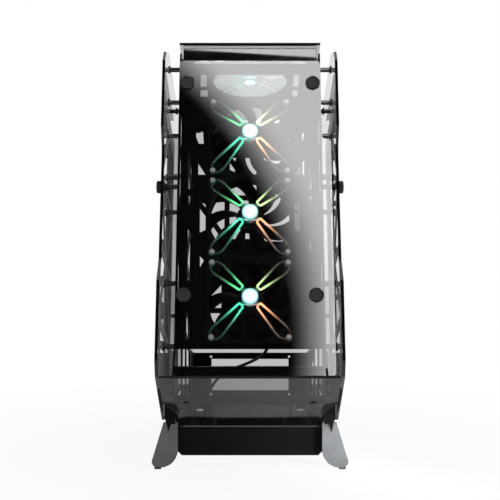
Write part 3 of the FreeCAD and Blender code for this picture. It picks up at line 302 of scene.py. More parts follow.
def peel_skin(tree, shader, grain, height, edge, rough):
    """Fine bump, rounded edges and uneven gloss. Grain, height and edge are in mm."""
    place = add_node(tree, "TexCoord").outputs["Object"]
    fine = add_node(tree, "TexNoise", {"Vector": place, "Scale": 1 / (grain * MM), "Detail": 2.0})
    rounded = add_node(tree, "Bevel", {"Radius": edge * MM}, samples=4)
    bump = add_node(tree, "Bump", {"Height": fine.outputs[0], "Strength": 0.5, "Distance": height * MM,
                                   "Normal": rounded.outputs[0]})
    tree.links.new(bump.outputs[0], shader.inputs["Normal"])
    patch = add_node(tree, "TexNoise", {"Vector": place, "Scale": 1 / (PATCH_SIZE * MM), "Detail": 3.0})
    gloss = add_node(tree, "MapRange", {"Value": patch.outputs[0], "From Min": 0.3, "From Max": 0.7,
                                        "To Min": rough[0], "To Max": rough[1]})
    tree.links.new(gloss.outputs[0], shader.inputs["Roughness"])
    return fine, patch


def skinned(name, dark, pale, values, **skin):
    """Material with such a skin, whose colour drifts between two tints."""
    material, tree, shader = new_material(name, values)
    _, patch = peel_skin(tree, shader, **skin)
    tint = add_node(tree, "ValToRGB", {0: patch.outputs[0]})
    set_ramp(tint, [(0.3, linear(dark)), (0.75, linear(pale))])
    tree.links.new(tint.outputs[0], shader.inputs["Base Color"])
    return material


powder_coat = skinned("powder_coated_steel", "#040405", "#09090a", {"IOR": 1.5, "Specular IOR Level": 0.1},
                      grain=0.9, height=0.02, edge=0.4, rough=(0.32, 0.44))
print(powder_coat.name)

# %% [markdown]
# ## Smoked glass
# Every pane is 4 mm tempered glass with a grey melt. The colour sits in the body of the glass, so
# we use volume absorption: a look through the thickness takes about half the light, and a look into the
# polished edge, where the path is long, goes nearly black. That is what draws the dark outline of each
# pane. The lower cover is a darker melt. With an index of 1.55 a face mirrors very nearly 3 rays of 64,
# so a render with 64 samples shows the mirrored veil without grain.

# %% Smoked tempered glass
PANE = 4 * MM
GLASS_INDEX = 1.55


def smoked(name, through):
    """Glass whose body lets a share of the light through one pane."""
    material, tree, _ = new_material(name, {"Base Color": WHITE, "Roughness": 0.0, "IOR": GLASS_INDEX,
                                            "Transmission Weight": 1.0})
    absorption = add_node(tree, "VolumeAbsorption", {"Color": (0.02, 0.02, 0.03, 1),
                                                     "Density": -math.log(through) / PANE})
    tree.links.new(absorption.outputs[0], tree.nodes["Material Output"].inputs["Volume"])
    return material


smoked_glass = smoked("smoked_tempered_glass", 0.56)
dark_glass = smoked("dark_tempered_glass", 0.31)
print(smoked_glass.name, dark_glass.name)

# %% [markdown]
# ## Metals
# The feet are bead-blasted aluminium with a clear anodic film: a satin grey without direction. The
# knobs, posts and buttons have a black one. Fan screws and sockets are bright steel, the standoffs are
# brass, and the rods and the dark screws have a shiny black nickel plate.

# %% Aluminium, steel, brass and nickel
satin_aluminium = skinned("anodised_aluminium", "#6f7173", "#7b7d7f", {"Metallic": 1.0},
                          grain=0.5, height=0.03, edge=0.5, rough=(0.42, 0.52))
bright_steel = skinned("turned_steel", "#ececec", "#f8f8f8", {"Metallic": 1.0},
                       grain=0.8, height=0.02, edge=0.3, rough=(0.28, 0.38))
brass = skinned("turned_brass", "#c9a24d", "#dcb968", {"Metallic": 1.0},
                grain=0.8, height=0.02, edge=0.3, rough=(0.18, 0.3))
black_anodic = skinned("black_anodised_aluminium", "#262628", "#303032", {"Specular IOR Level": 0.2},
                       grain=0.6, height=0.03, edge=0.4, rough=(0.42, 0.52))
black_nickel = skinned("black_nickel_plate", "#47474a", "#545458", {"Metallic": 1.0},
                       grain=0.8, height=0.01, edge=0.3, rough=(0.08, 0.16))
print(satin_aluminium.name, bright_steel.name, brass.name, black_anodic.name, black_nickel.name)

# %% [markdown]
# ## Plastics, rubber and board
# The front fans are moulded black PBT with a spark-eroded grain, and the fan under the roof is milky
# polycarbonate with a faint painted glow, though no lamp lights it. The pads are matt rubber, the lip is
# faced with polished acrylic, and the cables have a braided sleeve with painted shade, dark in the hollows
# of its braid. The board in the connector box has green resist with rows of tracks.

# %% Plastics, rubber and circuit board
black_plastic = skinned("moulded_pbt", "#050506", "#0b0b0c", {"IOR": 1.5, "Specular IOR Level": 0.15},
                        grain=0.6, height=0.06, edge=0.5, rough=(0.34, 0.5))
black_rubber = skinned("moulded_rubber", "#161616", "#222222", {"IOR": 1.45},
                       grain=0.5, height=0.08, edge=0.6, rough=(0.7, 0.85))
# The emission paints a faint white glow on the frame: painted light with no lamp behind it.
milky_plastic_painted_glow = skinned("milky_polycarbonate_painted_glow", "#e6eaec", "#f4f6f7",
                        {"IOR": 1.58, "Transmission Weight": 0.35, "Emission Color": linear("#f2fafa"),
                         "Emission Strength": 0.12},
                        grain=2.0, height=0.03, edge=0.5, rough=(0.3, 0.4))
gloss_acrylic = skinned("polished_black_acrylic", "#020203", "#050506", {"IOR": 1.49},
                        grain=4.0, height=0.002, edge=0.2, rough=(0.015, 0.03))

cable_jacket, tree, shader = new_material("braided_cable_sleeve", {"IOR": 1.5})
weave_and_shade, _ = peel_skin(tree, shader, grain=1.0, height=0.1, edge=0.3, rough=(0.55, 0.7))
# Painted shade: the colour follows the bump noise, so the hollows of the braid are painted darker.
tint = add_node(tree, "ValToRGB", {0: weave_and_shade.outputs[0]})
set_ramp(tint, [(0.35, linear("#0b0b0c")), (0.7, linear("#1e1e20"))])
tree.links.new(tint.outputs[0], shader.inputs["Base Color"])

circuit_board, tree, shader = new_material("circuit_board_resist", {"IOR": 1.5})
peel_skin(tree, shader, grain=0.5, height=0.03, edge=0.2, rough=(0.25, 0.35))
place = add_node(tree, "TexCoord").outputs["Object"]
tracks = add_node(tree, "TexBrick", {"Vector": place, "Scale": 1.0, "Color1": linear("#10301c"),
                                     "Color2": linear("#123620"), "Mortar": linear("#1d5a34"),
                                     "Brick Width": 6 * MM, "Row Height": 2 * MM, "Mortar Size": 0.25 * MM})
tree.links.new(tracks.outputs[0], shader.inputs["Base Color"])
print(black_plastic.name, black_rubber.name, cable_jacket.name, circuit_board.name)

# %% [markdown]
# ## Lit arms
# Each fan carries an X of clear acrylic loops that guide light out from the hub. The light enters at
# the narrow end and leaks away along the loop, so colour is strong near the hub and gone at the screws.
# The four arms have four colours. A Mapping node moves the pattern to each hub and turns it into the
# fan's own plane, where the angle picks the colour and the distance fades it.

# %% Lit arm material for each fan
ARM_COLOURS = ["#36d8a2", "#f0a470", "#c0dc94", "#50d684"]
HUB_TURN = {"top": 1, "middle": 1, "lower": 1, "exhaust": 0}
ARM_LIGHT = {"top": 1.9, "middle": 1.9, "lower": 1.9, "exhaust": 0.2}
ARM_BASE = linear("#dfe6e8")
ARM_REACH = 80
UNDER_LENS = [(0.0, (0.03, 0.05, 0.09, 1)), (0.18, (0.05, 0.08, 0.12, 1))]
ALONG_ARM = [(0.22, 1.0), (0.36, 0.7), (0.5, 0.2), (0.66, 0.025)]
arm_hues = [(i / len(ARM_COLOURS), linear(colour)) for i, colour in enumerate(ARM_COLOURS)]
lens_middles = {}
for fan in HUB_TURN:
    low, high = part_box(f"fan_{fan}_hub_lens")
    lens_middles[fan] = (low + high) / 2


def fan_place(tree, fan):
    """Object coordinates centred on a fan's hub and turned into its plane."""
    turn = math.radians(90) * HUB_TURN[fan] - LEAN
    return add_node(tree, "Mapping", {"Vector": add_node(tree, "TexCoord").outputs["Object"],
                                      "Location": lens_middles[fan], "Rotation": (turn, 0, 0)},
                    vector_type="TEXTURE").outputs[0]


def flat_reach(tree, place):
    """Distance from the fan's axis."""
    flat = add_node(tree, "VectorMath", {0: place, 1: (1, 1, 0)}, operation="MULTIPLY").outputs[0]
    return add_node(tree, "VectorMath", {0: flat}, operation="LENGTH").outputs["Value"]


lit_arms = {}
for fan in HUB_TURN:
    material, tree, shader = new_material(f"lit_acrylic_{fan}", {
        "Base Color": ARM_BASE, "Roughness": 0.08, "IOR": 1.49, "Transmission Weight": 0.9,
        "Emission Strength": ARM_LIGHT[fan]})
    place = fan_place(tree, fan)
    angle = add_node(tree, "TexGradient", {0: place}, gradient_type="RADIAL")
    hue = add_node(tree, "ValToRGB", {0: angle.outputs["Fac"]})
    set_ramp(hue, arm_hues, "CONSTANT")
    out = add_node(tree, "MapRange", {"Value": flat_reach(tree, place), "From Min": 0.0,
                                      "From Max": ARM_REACH * MM})
    fade = add_node(tree, "ValToRGB", {0: out.outputs[0]})
    set_ramp(fade, UNDER_LENS + [(along, (light, light, light, 1)) for along, light in ALONG_ARM])
    lit = add_node(tree, "Mix", {0: 1.0, 6: hue.outputs[0], 7: fade.outputs[0]}, data_type="RGBA",
                   blend_type="MULTIPLY")
    tree.links.new(lit.outputs[2], shader.inputs["Emission Color"])
    lit_arms[fan] = material
print("lit arms:", sorted(lit_arms))

# %% [markdown]
# ## Lit hub lens
# The lens over each hub is opal acrylic with a white lamp behind it. It is brightest in the middle and
# turns slightly blue towards its rim, where more plastic lies in the way.

# %% Lit lens material for each fan
LENS_LIGHT = {"top": 2.0, "middle": 2.0, "lower": 2.0, "exhaust": 1.6}
LENS_REACH = {"top": 11.2, "middle": 11.2, "lower": 11.2, "exhaust": 9}
lit_lenses = {}
for fan in HUB_TURN:
    material, tree, shader = new_material(f"lit_opal_{fan}", {
        "Base Color": linear("#e8f4f6"), "Roughness": 0.25, "IOR": 1.49,
        "Emission Strength": LENS_LIGHT[fan]})
    out = add_node(tree, "MapRange", {"Value": flat_reach(tree, fan_place(tree, fan)), "From Min": 0.0,
                                      "From Max": LENS_REACH[fan] * MM})
    rim = add_node(tree, "ValToRGB", {0: out.outputs[0]})
    set_ramp(rim, [(0.0, linear("#fff8fa")), (0.65, linear("#f2ffff")), (0.9, linear("#8fe3e8")),
                   (1.0, linear("#3f8388"))])
    tree.links.new(rim.outputs[0], shader.inputs["Emission Color"])
    lit_lenses[fan] = material
print("lit lenses:", sorted(lit_lenses))

# %% [markdown]
# ## Helpers for new pieces
# A turned or moulded detail is drawn once as a template mesh about the Z axis, and then copied to each
# place where the CAD has such a solid. The places are read from the frame: we merge a copy of the node's
# loose triangles and follow their edges, which gives one box for each solid.

# %% Places, templates and pieces
WELD = 0.001 * MM
SMOOTH_BELOW, SHARP_ABOVE = math.radians(20), math.radians(60)
RIGHT = Vector((1, 0, 0))
FRONT = -TO_REAR
SIDES = (("left", -RIGHT), ("right", RIGHT))


def solids(node, axis):
    """For each separate solid of a node: its middle, its upper corner and its top along an axis."""
    loose = bmesh.new()
    loose.from_mesh(nodes[node].data)
    bmesh.ops.remove_doubles(loose, verts=loose.verts, dist=WELD)
    waiting = set(loose.verts)
    found = []
    while waiting:
        stack = [waiting.pop()]
        points = []
        while stack:
            vert = stack.pop()
            points.append(vert.co.copy())
            joined = {edge.other_vert(vert) for edge in vert.link_edges} & waiting
            waiting -= joined
            stack += joined
        low = Vector([min(point[i] for point in points) for i in range(3)])
        high = Vector([max(point[i] for point in points) for i in range(3)])
        found.append(((low + high) / 2, high, max(point.dot(axis) for point in points)))
    loose.free()
    return sorted(found, key=lambda entry: tuple(round(value, 4) for value in entry[0]))


def seat(middle, axis, top):
    """Matrix that stands a template on an axis, with its zero at a height along the axis."""
    foot = middle + axis * (top - middle.dot(axis))
    return Matrix.Translation(foot) @ axis.to_track_quat("Z", "Y").to_matrix().to_4x4()


def seats(node, axis):
    """Such a matrix at the top of each solid of a node."""
    return [seat(middle, axis, top) for middle, _, top in solids(node, axis)]


def axes_at(origin, across, up, out):
    """Matrix with three given axes at an origin."""
    turn = Matrix((across, up, out)).transposed().to_4x4()
    return Matrix.Translation(origin) @ turn


def keep_template(builder, name):
    bmesh.ops.remove_doubles(builder, verts=builder.verts, dist=WELD)
    bmesh.ops.recalc_face_normals(builder, faces=builder.faces)
    mesh = bpy.data.meshes.new(name)
    builder.to_mesh(mesh)
    builder.free()
    return mesh


def spin_profile(builder, profile, steps):
    """Spin a line of (radius, height) points, in mm, about Z."""
    verts = [builder.verts.new((radius * MM, 0, height * MM)) for radius, height in profile]
    edges = [builder.edges.new(pair) for pair in zip(verts, verts[1:])]
    bmesh.ops.spin(builder, geom=verts + edges, axis=(0, 0, 1), cent=(0, 0, 0), angle=2 * math.pi,
                   steps=steps, use_merge=True)
    bmesh.ops.remove_doubles(builder, verts=builder.verts, dist=WELD)


def turned(name, profile, steps=48):
    builder = bmesh.new()
    spin_profile(builder, profile, steps)
    return keep_template(builder, name)


def sink_hole(builder, sides, radius, depth):
    """Close the open top of a spun body round a blind hole, in mm."""
    mouth = [edge for edge in builder.edges if edge.is_boundary]
    hole = bmesh.ops.create_circle(builder, segments=sides, radius=radius * MM)
    hole_edges = list({edge for vert in hole["verts"] for edge in vert.link_edges})
    bmesh.ops.bridge_loops(builder, edges=mouth + hole_edges)
    bore = bmesh.ops.extrude_edge_only(builder, edges=hole_edges)["geom"]
    bottom = [item for item in bore if isinstance(item, bmesh.types.BMVert)]
    bmesh.ops.translate(builder, verts=bottom, vec=(0, 0, -depth * MM))
    rim = [item for item in bore if isinstance(item, bmesh.types.BMEdge) and item.is_boundary]
    bmesh.ops.edgeloop_fill(builder, edges=rim)


def soften(builder, geom, offset, segments, affect="EDGES"):
    """Round edges or corners by an offset in mm."""
    bmesh.ops.bevel(builder, geom=geom, affect=affect, offset=offset * MM, segments=segments, profile=0.5,
                    material=-1)


def cuboid(width, depth, height):
    """A block in mm, centred on zero."""
    builder = bmesh.new()
    bmesh.ops.create_cube(builder, size=1)
    bmesh.ops.scale(builder, verts=builder.verts, vec=(width * MM, depth * MM, height * MM))
    return builder


def ring_plate(outline, corner, corner_steps, width, wall, round_by, round_steps):
    """A flat ring in mm: the outline is rounded and inset, its middle goes, and solidify gives the wall."""
    builder = bmesh.new()
    builder.faces.new([builder.verts.new(Vector(point) * MM) for point in outline])
    soften(builder, builder.verts[:], corner, corner_steps, "VERTICES")
    middle_face = builder.faces[:]
    bmesh.ops.inset_region(builder, faces=middle_face, thickness=width * MM, use_boundary=True,
                           use_even_offset=True)
    bmesh.ops.delete(builder, geom=middle_face, context="FACES")
    bmesh.ops.solidify(builder, geom=builder.faces[:], thickness=wall * MM)
    sharp = [edge for edge in builder.edges if edge.calc_face_angle(0) > SHARP_ABOVE]
    soften(builder, sharp, round_by, round_steps)
    return builder


def assemble(name, body, slot, finish, parts, *stands_for):
    """One piece from templates and the places that each is copied to."""
    builder = bmesh.new()
    for template, places in parts:
        for place in places:
            template.transform(place)
            builder.from_mesh(template)
            template.transform(place.inverted())
    mesh = bpy.data.meshes.new(name)
    builder.to_mesh(mesh)
    builder.free()
    mesh.shade_smooth()
    mesh.set_sharp_from_angle(angle=SMOOTH_BELOW)
    mesh.materials.append(finish)
    piece = bpy.data.objects.new(name, mesh)
    bpy.context.scene.collection.objects.link(piece)
    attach(piece, body)
    if stands_for:
        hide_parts(*stands_for)
    print(name, len(mesh.polygons), "faces")


print("front knobs at", [[round(v, 3) for v in entry[0]] for entry in solids("front_knobs", FRONT)])

# %% [markdown]
# ## Knobs
# The front glass hangs on four flat knobs, black anodised discs with a shallow dish and a fine knurl on
# the rim. The side panes are held by taller thumb knobs with a collar towards the glass. Both are turned
# parts, so a spun profile makes them. For the knurl, every second column of the rim is pressed in.

# %% Front knobs and side knobs
KNURL_DEPTH = 0.94


def knurled(name, profile, steps, rim):
    builder = bmesh.new()
    spin_profile(builder, profile, steps)
    for vert in builder.verts:
        column = round(math.atan2(vert.co.y, vert.co.x) * steps / (2 * math.pi))
        if column % 2 and vert.co.xy.length > rim * MM:
            vert.co.xy *= KNURL_DEPTH
    return keep_template(builder, name)


flat_knob = knurled("flat_knob", [(0, -0.7), (7.4, -0.7), (8.1, -0.1), (8.8, 0), (9.7, -0.4), (10, -0.9),
                                  (10, -2.4), (9.6, -3), (3, -3), (3, -7), (0, -7)], 96, 9.8)
assemble("front_knob_discs", "case", "black_anodised", black_anodic,
         [(flat_knob, seats("front_knobs", FRONT))], "front_knobs")
thumb_knob = knurled("thumb_knob", [(0, -1), (4.6, -1), (5.4, -0.3), (6.6, 0), (8, -0.5), (8.8, -1.4),
                                    (8.8, -6), (8, -6.8), (6, -7), (6, -8.4), (7.2, -8.8), (7.2, -10),
                                    (3, -10), (3, -14), (0, -14)], 72, 8.5)
for side, out in SIDES:
    assemble(f"{side}_thumb_knobs", "case", "black_anodised", black_anodic,
             [(thumb_knob, seats(f"{side}_side_knobs", out))], f"{side}_side_knobs")

# %% [markdown]
# ## Screws
# All visible screws are round heads with a hexagonal socket. The head is spun, a hexagon is bridged to
# its open top, and the socket is extruded down from it. Only the sizes differ: bright screws hold the
# fans, and black ones hold the roof glass, the lower cover and the feet.

# %% Socket-head screws
TOP_SHARE, BROW_SHARE, SOCKET_SHARE = 0.72, 0.93, 0.46
BROW_DROP, RIM_DROP, SOCKET_DROP = 0.2, 0.5, 0.7


def socket_head(name, radius, height, shank, length):
    builder = bmesh.new()
    spin_profile(builder, [(TOP_SHARE * radius, 0), (BROW_SHARE * radius, -BROW_DROP * height),
                           (radius, -RIM_DROP * height), (radius, -height), (shank, -height),
                           (shank, -height - length), (0, -height - length)], 36)
    sink_hole(builder, 6, SOCKET_SHARE * radius, SOCKET_DROP * height)
    return keep_template(builder, name)


fan_screw = socket_head("fan_screw", 3.5, 2.2, 2, 6)
roof_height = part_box("fan_top_frame")[1].z
front_places = [seat(middle, FRONT, top) for middle, _, top in solids("fan_screws", FRONT)
                if middle.z < roof_height]
down_places = [seat(middle, -UP_PLATE, top) for middle, _, top in solids("fan_screws", -UP_PLATE)
               if middle.z > roof_height]
assemble("fan_screw_heads", "case", "bright_steel", bright_steel, [(fan_screw, front_places + down_places)],
         "fan_screws")

roof_screw = socket_head("roof_screw", 6, 3, 3, 4)
cover_screw = socket_head("cover_screw", 4, 2.2, 2, 4)
COVER_SLOPE = math.radians(37.2)
COVER_OUT = Vector((0, -math.sin(COVER_SLOPE), -math.cos(COVER_SLOPE)))
for node, template, out in (("roof_screws", roof_screw, UP_PLATE), ("cover_screws", cover_screw, COVER_OUT)):
    assemble(f"{node[:-1]}_heads", "case", "black_anodised", black_nickel,
             [(template, seats(node, out))], node)

# %% [markdown]
# ## Screws that the CAD leaves out
# Small fasteners belong to the scene. Each foot is bolted to the truss plate through its flange, and each
# slot cover has one screw at its inner end. Their places follow from the boxes of the pieces they hold.

# %% Foot bolts and slot cover screws
FLANGE_GAUGE, BOLT_RADIUS, BOLT_HEAD = 3, 4.5, 2.6
BOLT_INSETS, BOLT_RISE = [14, 38], 2 / 3
SLOT_SCREW_RADIUS, SLOT_SCREW_HEAD = 3.2, 2
foot_bolt = socket_head("foot_bolt", BOLT_RADIUS, BOLT_HEAD, 2, 0.5)
bolt_places = []
for end in ("front", "rear"):
    for side, out in SIDES:
        low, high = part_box(f"{end}_{side}_foot")
        plate_low, plate_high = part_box(f"{side}_truss_plate")
        flange = max(plate_low.dot(out), plate_high.dot(out)) + (FLANGE_GAUGE + BOLT_HEAD) * MM
        fin, inward = (low.y, 1) if end == "front" else (high.y, -1)
        for inset in BOLT_INSETS:
            middle = Vector((0, fin + inward * inset * MM, low.z + (high.z - low.z) * BOLT_RISE))
            bolt_places.append(seat(middle, out, flange))
assemble("foot_bolts", "case", "black_anodised", black_nickel, [(foot_bolt, bolt_places)])

slot_screw = socket_head("slot_screw", SLOT_SCREW_RADIUS, SLOT_SCREW_HEAD, 1.5, 0.5)
slot_places = []
for middle, high, top in solids("slot_covers", TO_REAR):
    place = Vector((high.x - SLOT_SCREW_RADIUS * MM, middle.y, middle.z))
    slot_places.append(seat(place, TO_REAR, top + SLOT_SCREW_HEAD * MM))
assemble("slot_cover_screws", "case", "bright_steel", bright_steel, [(slot_screw, slot_places)])

# %% [markdown]
# ## Washers and standoffs
# A rubber washer keeps each steel rod off the side glass. The motherboard stands on brass hexagon
# posts with a threaded hole, which we make like a screw socket, but with a round hole in a hexagon.

# %% Rod washers and hexagon standoffs
washer = turned("washer", [(3.5, 0), (5, 0), (5.5, -0.4), (5.5, -1.2), (5, -1.6), (3.5, -1.6), (3.5, 0)], 32)
washer_places = [place for side, out in SIDES for place in seats(f"{side}_side_rods", out)]
assemble("rod_washers", "case", "black_rubber", black_rubber, [(washer, washer_places)])

STANDOFF_HEIGHT, HOLE_RADIUS, HOLE_DEPTH = 6.5, 1.5, 5
builder = bmesh.new()
spin_profile(builder, [(2.6, 0), (3, -0.5), (3, -STANDOFF_HEIGHT), (0, -STANDOFF_HEIGHT)], 6)
sink_hole(builder, 24, HOLE_RADIUS, HOLE_DEPTH)
standoff = keep_template(builder, "standoff")
assemble("hexagon_standoffs", "case", "brass", brass, [(standoff, seats("motherboard_standoffs", -RIGHT))],
         "motherboard_standoffs")

# %% [markdown]
# ## Loop arms
# Each arm is a long loop of clear acrylic that climbs from a corner of the fan frame to the hub. We draw
# one half of its outline, mirror it and make a flat ring of it. Then every point is lifted towards the
# hub. An eye under the screw closes the outer end, and a square base carries the lens.

# %% Loop arms, eyes and hub base
HUB_RISE = {"top": 19, "middle": 19, "lower": 19, "exhaust": 0}
SHOULDER, ROOT, EYE = 65.2, 15, 74.2
LOOP_HALF = [(ROOT, 4.6), (SHOULDER - 8, 9.6), (SHOULDER, 9.8), (EYE - 1, 6.5)]
LEG, ARM_GAUGE, LOOP_CORNER, LOOP_ROUND = 2.5, 3, 3, 0.4
BASE_SIDE, BASE_GAUGE, BASE_CORNER = 22, 4, 3
LENS_HEIGHT = 2.5
fan_seats = {}
for fan, rise in HUB_RISE.items():
    out = -UP_PLATE if fan == "exhaust" else FRONT
    origin = lens_middles[fan] - out * (rise + LENS_HEIGHT / 2) * MM
    fan_seats[fan] = axes_at(origin, RIGHT, out.cross(RIGHT), out)


def loop_arm(rise):
    outline = LOOP_HALF + [(out, -half) for out, half in LOOP_HALF[::-1]]
    builder = ring_plate([(out, half, 0) for out, half in outline], corner=LOOP_CORNER, corner_steps=4,
                         width=LEG, wall=ARM_GAUGE, round_by=LOOP_ROUND, round_steps=2)
    low = min(vert.co.z for vert in builder.verts)
    for vert in builder.verts:
        climb = min(1, max(0, (SHOULDER * MM - vert.co.x) / ((SHOULDER - ROOT) * MM)))
        vert.co.z += climb * rise * MM - low - ARM_GAUGE * MM
    return keep_template(builder, "loop_arm")


def hub_base(rise):
    builder = cuboid(BASE_SIDE, BASE_SIDE, BASE_GAUGE)
    upright = [edge for edge in builder.edges if abs(edge.verts[0].co.z - edge.verts[1].co.z) > MM]
    soften(builder, upright, BASE_CORNER, 4)
    bmesh.ops.translate(builder, verts=builder.verts, vec=(0, 0, (rise - BASE_GAUGE / 2) * MM))
    return keep_template(builder, "hub_base")


def hub_stem(rise):
    under = rise - BASE_GAUGE
    return turned("hub_stem", [(0, under), (9, under), (10, -ARM_GAUGE), (0, -ARM_GAUGE)])


eye = turned("eye", [(2.2, 0), (4.6, 0), (5, -0.4), (5, -ARM_GAUGE), (2.2, -ARM_GAUGE), (2.2, 0)], 32)
quarter_turns = [Matrix.Rotation(math.radians(45 + 90 * i), 4, "Z") for i in range(4)]
for fan, rise in HUB_RISE.items():
    place = fan_seats[fan]
    eyes = [place @ turn @ Matrix.Translation((EYE * MM, 0, 0)) for turn in quarter_turns]
    arms = [place @ turn for turn in quarter_turns]
    parts = [(loop_arm(rise), arms), (eye, eyes), (hub_base(rise), [place])]
    if rise:
        parts.append((hub_stem(rise), [place]))
    assemble(f"{fan}_loop_arms", "case", "lit_arm_plastic", lit_arms[fan], parts, f"fan_{fan}_light_arms")

# %% [markdown]
# ## Domed lenses
# A shallow dome closes the hub. A spun profile gives it the even curve of a moulded lens.

# %% Lenses
dome = turned("dome", [(0, LENS_HEIGHT), (3.5, 2.42), (6.6, 2.1), (9, 1.5), (10.4, 0.8), (11, 0), (0, 0)])
for fan, rise in HUB_RISE.items():
    place = fan_seats[fan] @ Matrix.Translation((0, 0, rise * MM))
    assemble(f"{fan}_dome_lens", "case", "lit_lens_plastic", lit_lenses[fan], [(dome, [place])],
             f"fan_{fan}_hub_lens")

# %% [markdown]
# ## Rotors
# A fan rotor is a cup with nine swept blades. One blade starts as a grid that we wrap round the axis:
# its chord twists through the depth of the fan and its span sweeps forward, and solidify gives the wall.
# The pieces ride on the rotor bodies, so they spin with the joints.

# %% Cup and blades
BLADES, BLADE_HALF, BLADE_SWEEP, SWEEP_POWER = 9, 13.5, 24, 1.5
BLADE_ROOT, BLADE_TIP, BLADE_WALL = 18.4, 56.7, 1.3
BLADE_MIDDLE, BLADE_RISE, BLADE_CROWN = -15, 5.6, 1.2
builder = bmesh.new()
bmesh.ops.create_grid(builder, x_segments=8, y_segments=10, size=1)
for vert in builder.verts:
    chord, span = vert.co.x, (vert.co.y + 1) / 2
    reach = (BLADE_ROOT + (BLADE_TIP - BLADE_ROOT) * span) * MM
    turn = math.radians(BLADE_SWEEP * span ** SWEEP_POWER + BLADE_HALF * chord)
    height = BLADE_MIDDLE + BLADE_RISE * chord + BLADE_CROWN * (1 - chord ** 2)
    vert.co = (reach * math.cos(turn), reach * math.sin(turn), height * MM)
bmesh.ops.solidify(builder, geom=builder.faces[:], thickness=BLADE_WALL * MM)
blade = keep_template(builder, "blade")
cup = turned("cup", [(0, -23.3), (17, -23.3), (18.4, -22.6), (19, -21.4), (19, -6.9), (17.6, -6.9),
                     (17.6, -21.2), (0, -21.2)], 64)
spokes = [Matrix.Rotation(2 * math.pi * i / BLADES, 4, "Z") for i in range(BLADES)]
for fan, place in fan_seats.items():
    finish = milky_plastic_painted_glow if fan == "exhaust" else black_plastic
    assemble(f"{fan}_fan_wheel", f"{fan}_rotor", "black_plastic", finish,
             [(blade, [place @ turn for turn in spokes]), (cup, [place])], f"fan_{fan}_rotor")

# %% [markdown]
# ## Lip trim
# The lip of the top plate is faced with polished acrylic. It is a thin plate with a small bevel, and it is
# what mirrors the wedge of light.

# %% Lip trim
TRIM_WIDTH, TRIM_GAUGE, TRIM_HEIGHT, TRIM_ROUND = 194.4, 0.8, 24, 0.3
LIP_FACE, LIP_MIDDLE = 14, 255.6
core_seat = axes_at(CORE, RIGHT, TO_REAR, UP_PLATE)


def block(name, width, depth, height, round_by):
    """Template block in mm, centred, with rounded edges."""
    builder = cuboid(width, depth, height)
    soften(builder, builder.edges[:], round_by, 2)
    return keep_template(builder, name)


def in_core(across, back, up):
    """Place in the leaning core: across, back from the fan plate and up, in mm."""
    return core_seat @ Matrix.Translation(Vector((across, back, up)) * MM)


trim = block("trim", TRIM_WIDTH, TRIM_GAUGE, TRIM_HEIGHT, TRIM_ROUND)
assemble("lip_trim", "case", "black_plastic", gloss_acrylic,
         [(trim, [in_core(0, LIP_FACE - TRIM_GAUGE / 2, LIP_MIDDLE)])])

# %% [markdown]
# ## Socket tongues
# A USB socket is empty without its tongue, the small moulding that carries the contacts. It stands on
# the floor of the shell, a little behind the middle.

# %% Socket tongues
SOCKETS_ACROSS, SOCKET_BACK, SOCKET_FLOOR = [8, 30], 327.6, 256.6
TONGUE_WIDTH, TONGUE_GAUGE, TONGUE_LENGTH, TONGUE_ROUND = 10.6, 1.9, 11.5, 0.3
tongue = block("tongue", TONGUE_WIDTH, TONGUE_GAUGE, TONGUE_LENGTH, TONGUE_ROUND)
tongue_middle = SOCKET_FLOOR + TONGUE_LENGTH / 2
assemble("usb_tongues", "case", "black_plastic", black_plastic,
         [(tongue, [in_core(across, SOCKET_BACK, tongue_middle) for across in SOCKETS_ACROSS])])

# %% [markdown]
# ## Grommets
# The two cable slots in the motherboard tray have rubber edging. It is a flat ring again, with a wall
# that grips the sheet on both sides.

# %% Cable slot grommets
SLOT_BACK, SLOT_HALF_WIDTH, SLOT_HALF_HEIGHT = 71, 13, 40
SLOT_MIDDLES = [144.53, -10.41]
RIM_OVER, RIM_WIDTH, RIM_WALL, RIM_CORNER, RIM_ROUND = 2.6, 5, 4, 5, 1.2
TRAY_MIDDLE = 74.75
half_width, half_height = SLOT_HALF_WIDTH + RIM_OVER, SLOT_HALF_HEIGHT + RIM_OVER
outline = [(0, back * half_width, up * half_height) for back, up in ((-1, -1), (1, -1), (1, 1), (-1, 1))]
builder = ring_plate(outline, corner=RIM_CORNER, corner_steps=5, width=RIM_WIDTH, wall=RIM_WALL,
                     round_by=RIM_ROUND, round_steps=3)
sides = [vert.co.x for vert in builder.verts]
bmesh.ops.translate(builder, verts=builder.verts, vec=(-(min(sides) + max(sides)) / 2, 0, 0))
grommet = keep_template(builder, "grommet")
assemble("cable_grommets", "case", "black_rubber", black_rubber,
         [(grommet, [in_core(TRAY_MIDDLE, SLOT_BACK, up) for up in SLOT_MIDDLES])])

# %% [markdown]
# ## Fan cables
# Two cables run from the fans to the connectors in the base. A cable is a curve with a round bevel. The
# control points are those of the solid's route, and a quadratic NURBS spline draws one smooth line
# through their hull. It starts and ends in the object, so the far end is the object itself.

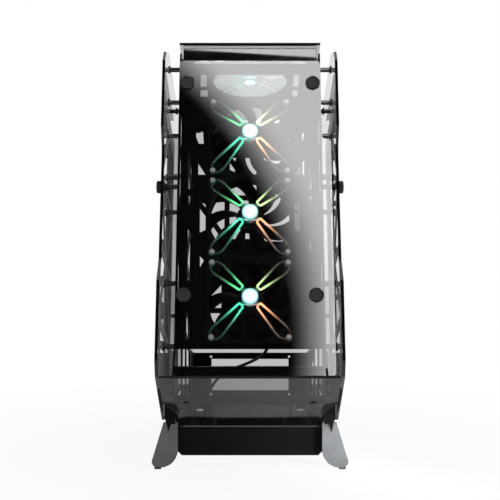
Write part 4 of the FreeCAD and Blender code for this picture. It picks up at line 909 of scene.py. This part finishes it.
# %% Fan cables
CABLE = 4.5
CABLES = {
    "fan_cable_front": (0.352, [
        (28, -159, 176), (24, -131, 158), (13, -92, 145), (0, -40, 133), (-16, 14, 121),
        (-36, 58, 110), (-56, 82, 94), (-68, 91, 68), (-73, 93, 42), (-73, 93, 18)]),
    "fan_cable_side": (0.457, [
        (86, -105, 357), (91, -113, 318), (84, -121, 279), (90, -136, 241), (85, -143, 201),
        (89, -143, 163), (84, -128, 130), (74, -98, 104), (66, -60, 86), (63, -20, 72),
        (62, 18, 55), (63, 42, 40), (64, 53, 29), (64, 53, 18)]),
}
for node, (length, route) in CABLES.items():
    curve = bpy.data.curves.new(node, "CURVE")
    curve.dimensions = "3D"
    curve.bevel_depth = CABLE / 2 * MM
    curve.bevel_resolution = 4
    curve.resolution_u = 10
    curve.use_fill_caps = True
    spline = curve.splines.new("NURBS")
    spline.points.add(len(route) - 1)
    for point, place in zip(spline.points, route):
        point.co = [value * MM for value in place] + [1]
    spline.order_u = 3
    spline.use_endpoint_u = True
    curve.materials.append(cable_jacket)
    cable = bpy.data.objects.new(f"{node}_cord", curve)
    bpy.context.scene.collection.objects.link(cable)
    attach(cable, "case")
    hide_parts(node)
    print(node, "length in metres:", length)

# %% [markdown]
# ## Dress the solids
# A CAD node keeps its mesh and only gets a finish. Each list below is one material of the real case.

# %% Give each node its finish
def dress(material, *names):
    for name in names:
        nodes[name].data.materials.clear()
        nodes[name].data.materials.append(material)


dress(powder_coat, "fan_plate", "top_plate", "rear_panel", "slot_covers", "motherboard_tray",
      "left_truss_plate", "right_truss_plate", "bottom_tray", "psu_plate", "psu_shelf", "drive_plate",
      "cross_bar", "cover_rail", "foot_brackets", "io_box")
dress(smoked_glass, "front_glass", "roof_glass", "left_side_glass", "right_side_glass")
dress(dark_glass, "lower_cover")
dress(bright_steel, "usb_sockets")
dress(black_nickel, "left_side_rods", "right_side_rods")
dress(black_anodic, "front_posts", "roof_posts", "power_button", "reset_button")
dress(satin_aluminium, "front_left_foot", "front_right_foot", "rear_left_foot", "rear_right_foot")
dress(black_rubber, "foot_pads")
dress(circuit_board, "io_board")
dress(black_plastic, "audio_socket", "fan_top_frame", "fan_middle_frame", "fan_lower_frame")
dress(milky_plastic_painted_glow, "fan_exhaust_frame")
print("dressed:", sum(1 for item in nodes.values() if item.data.materials))
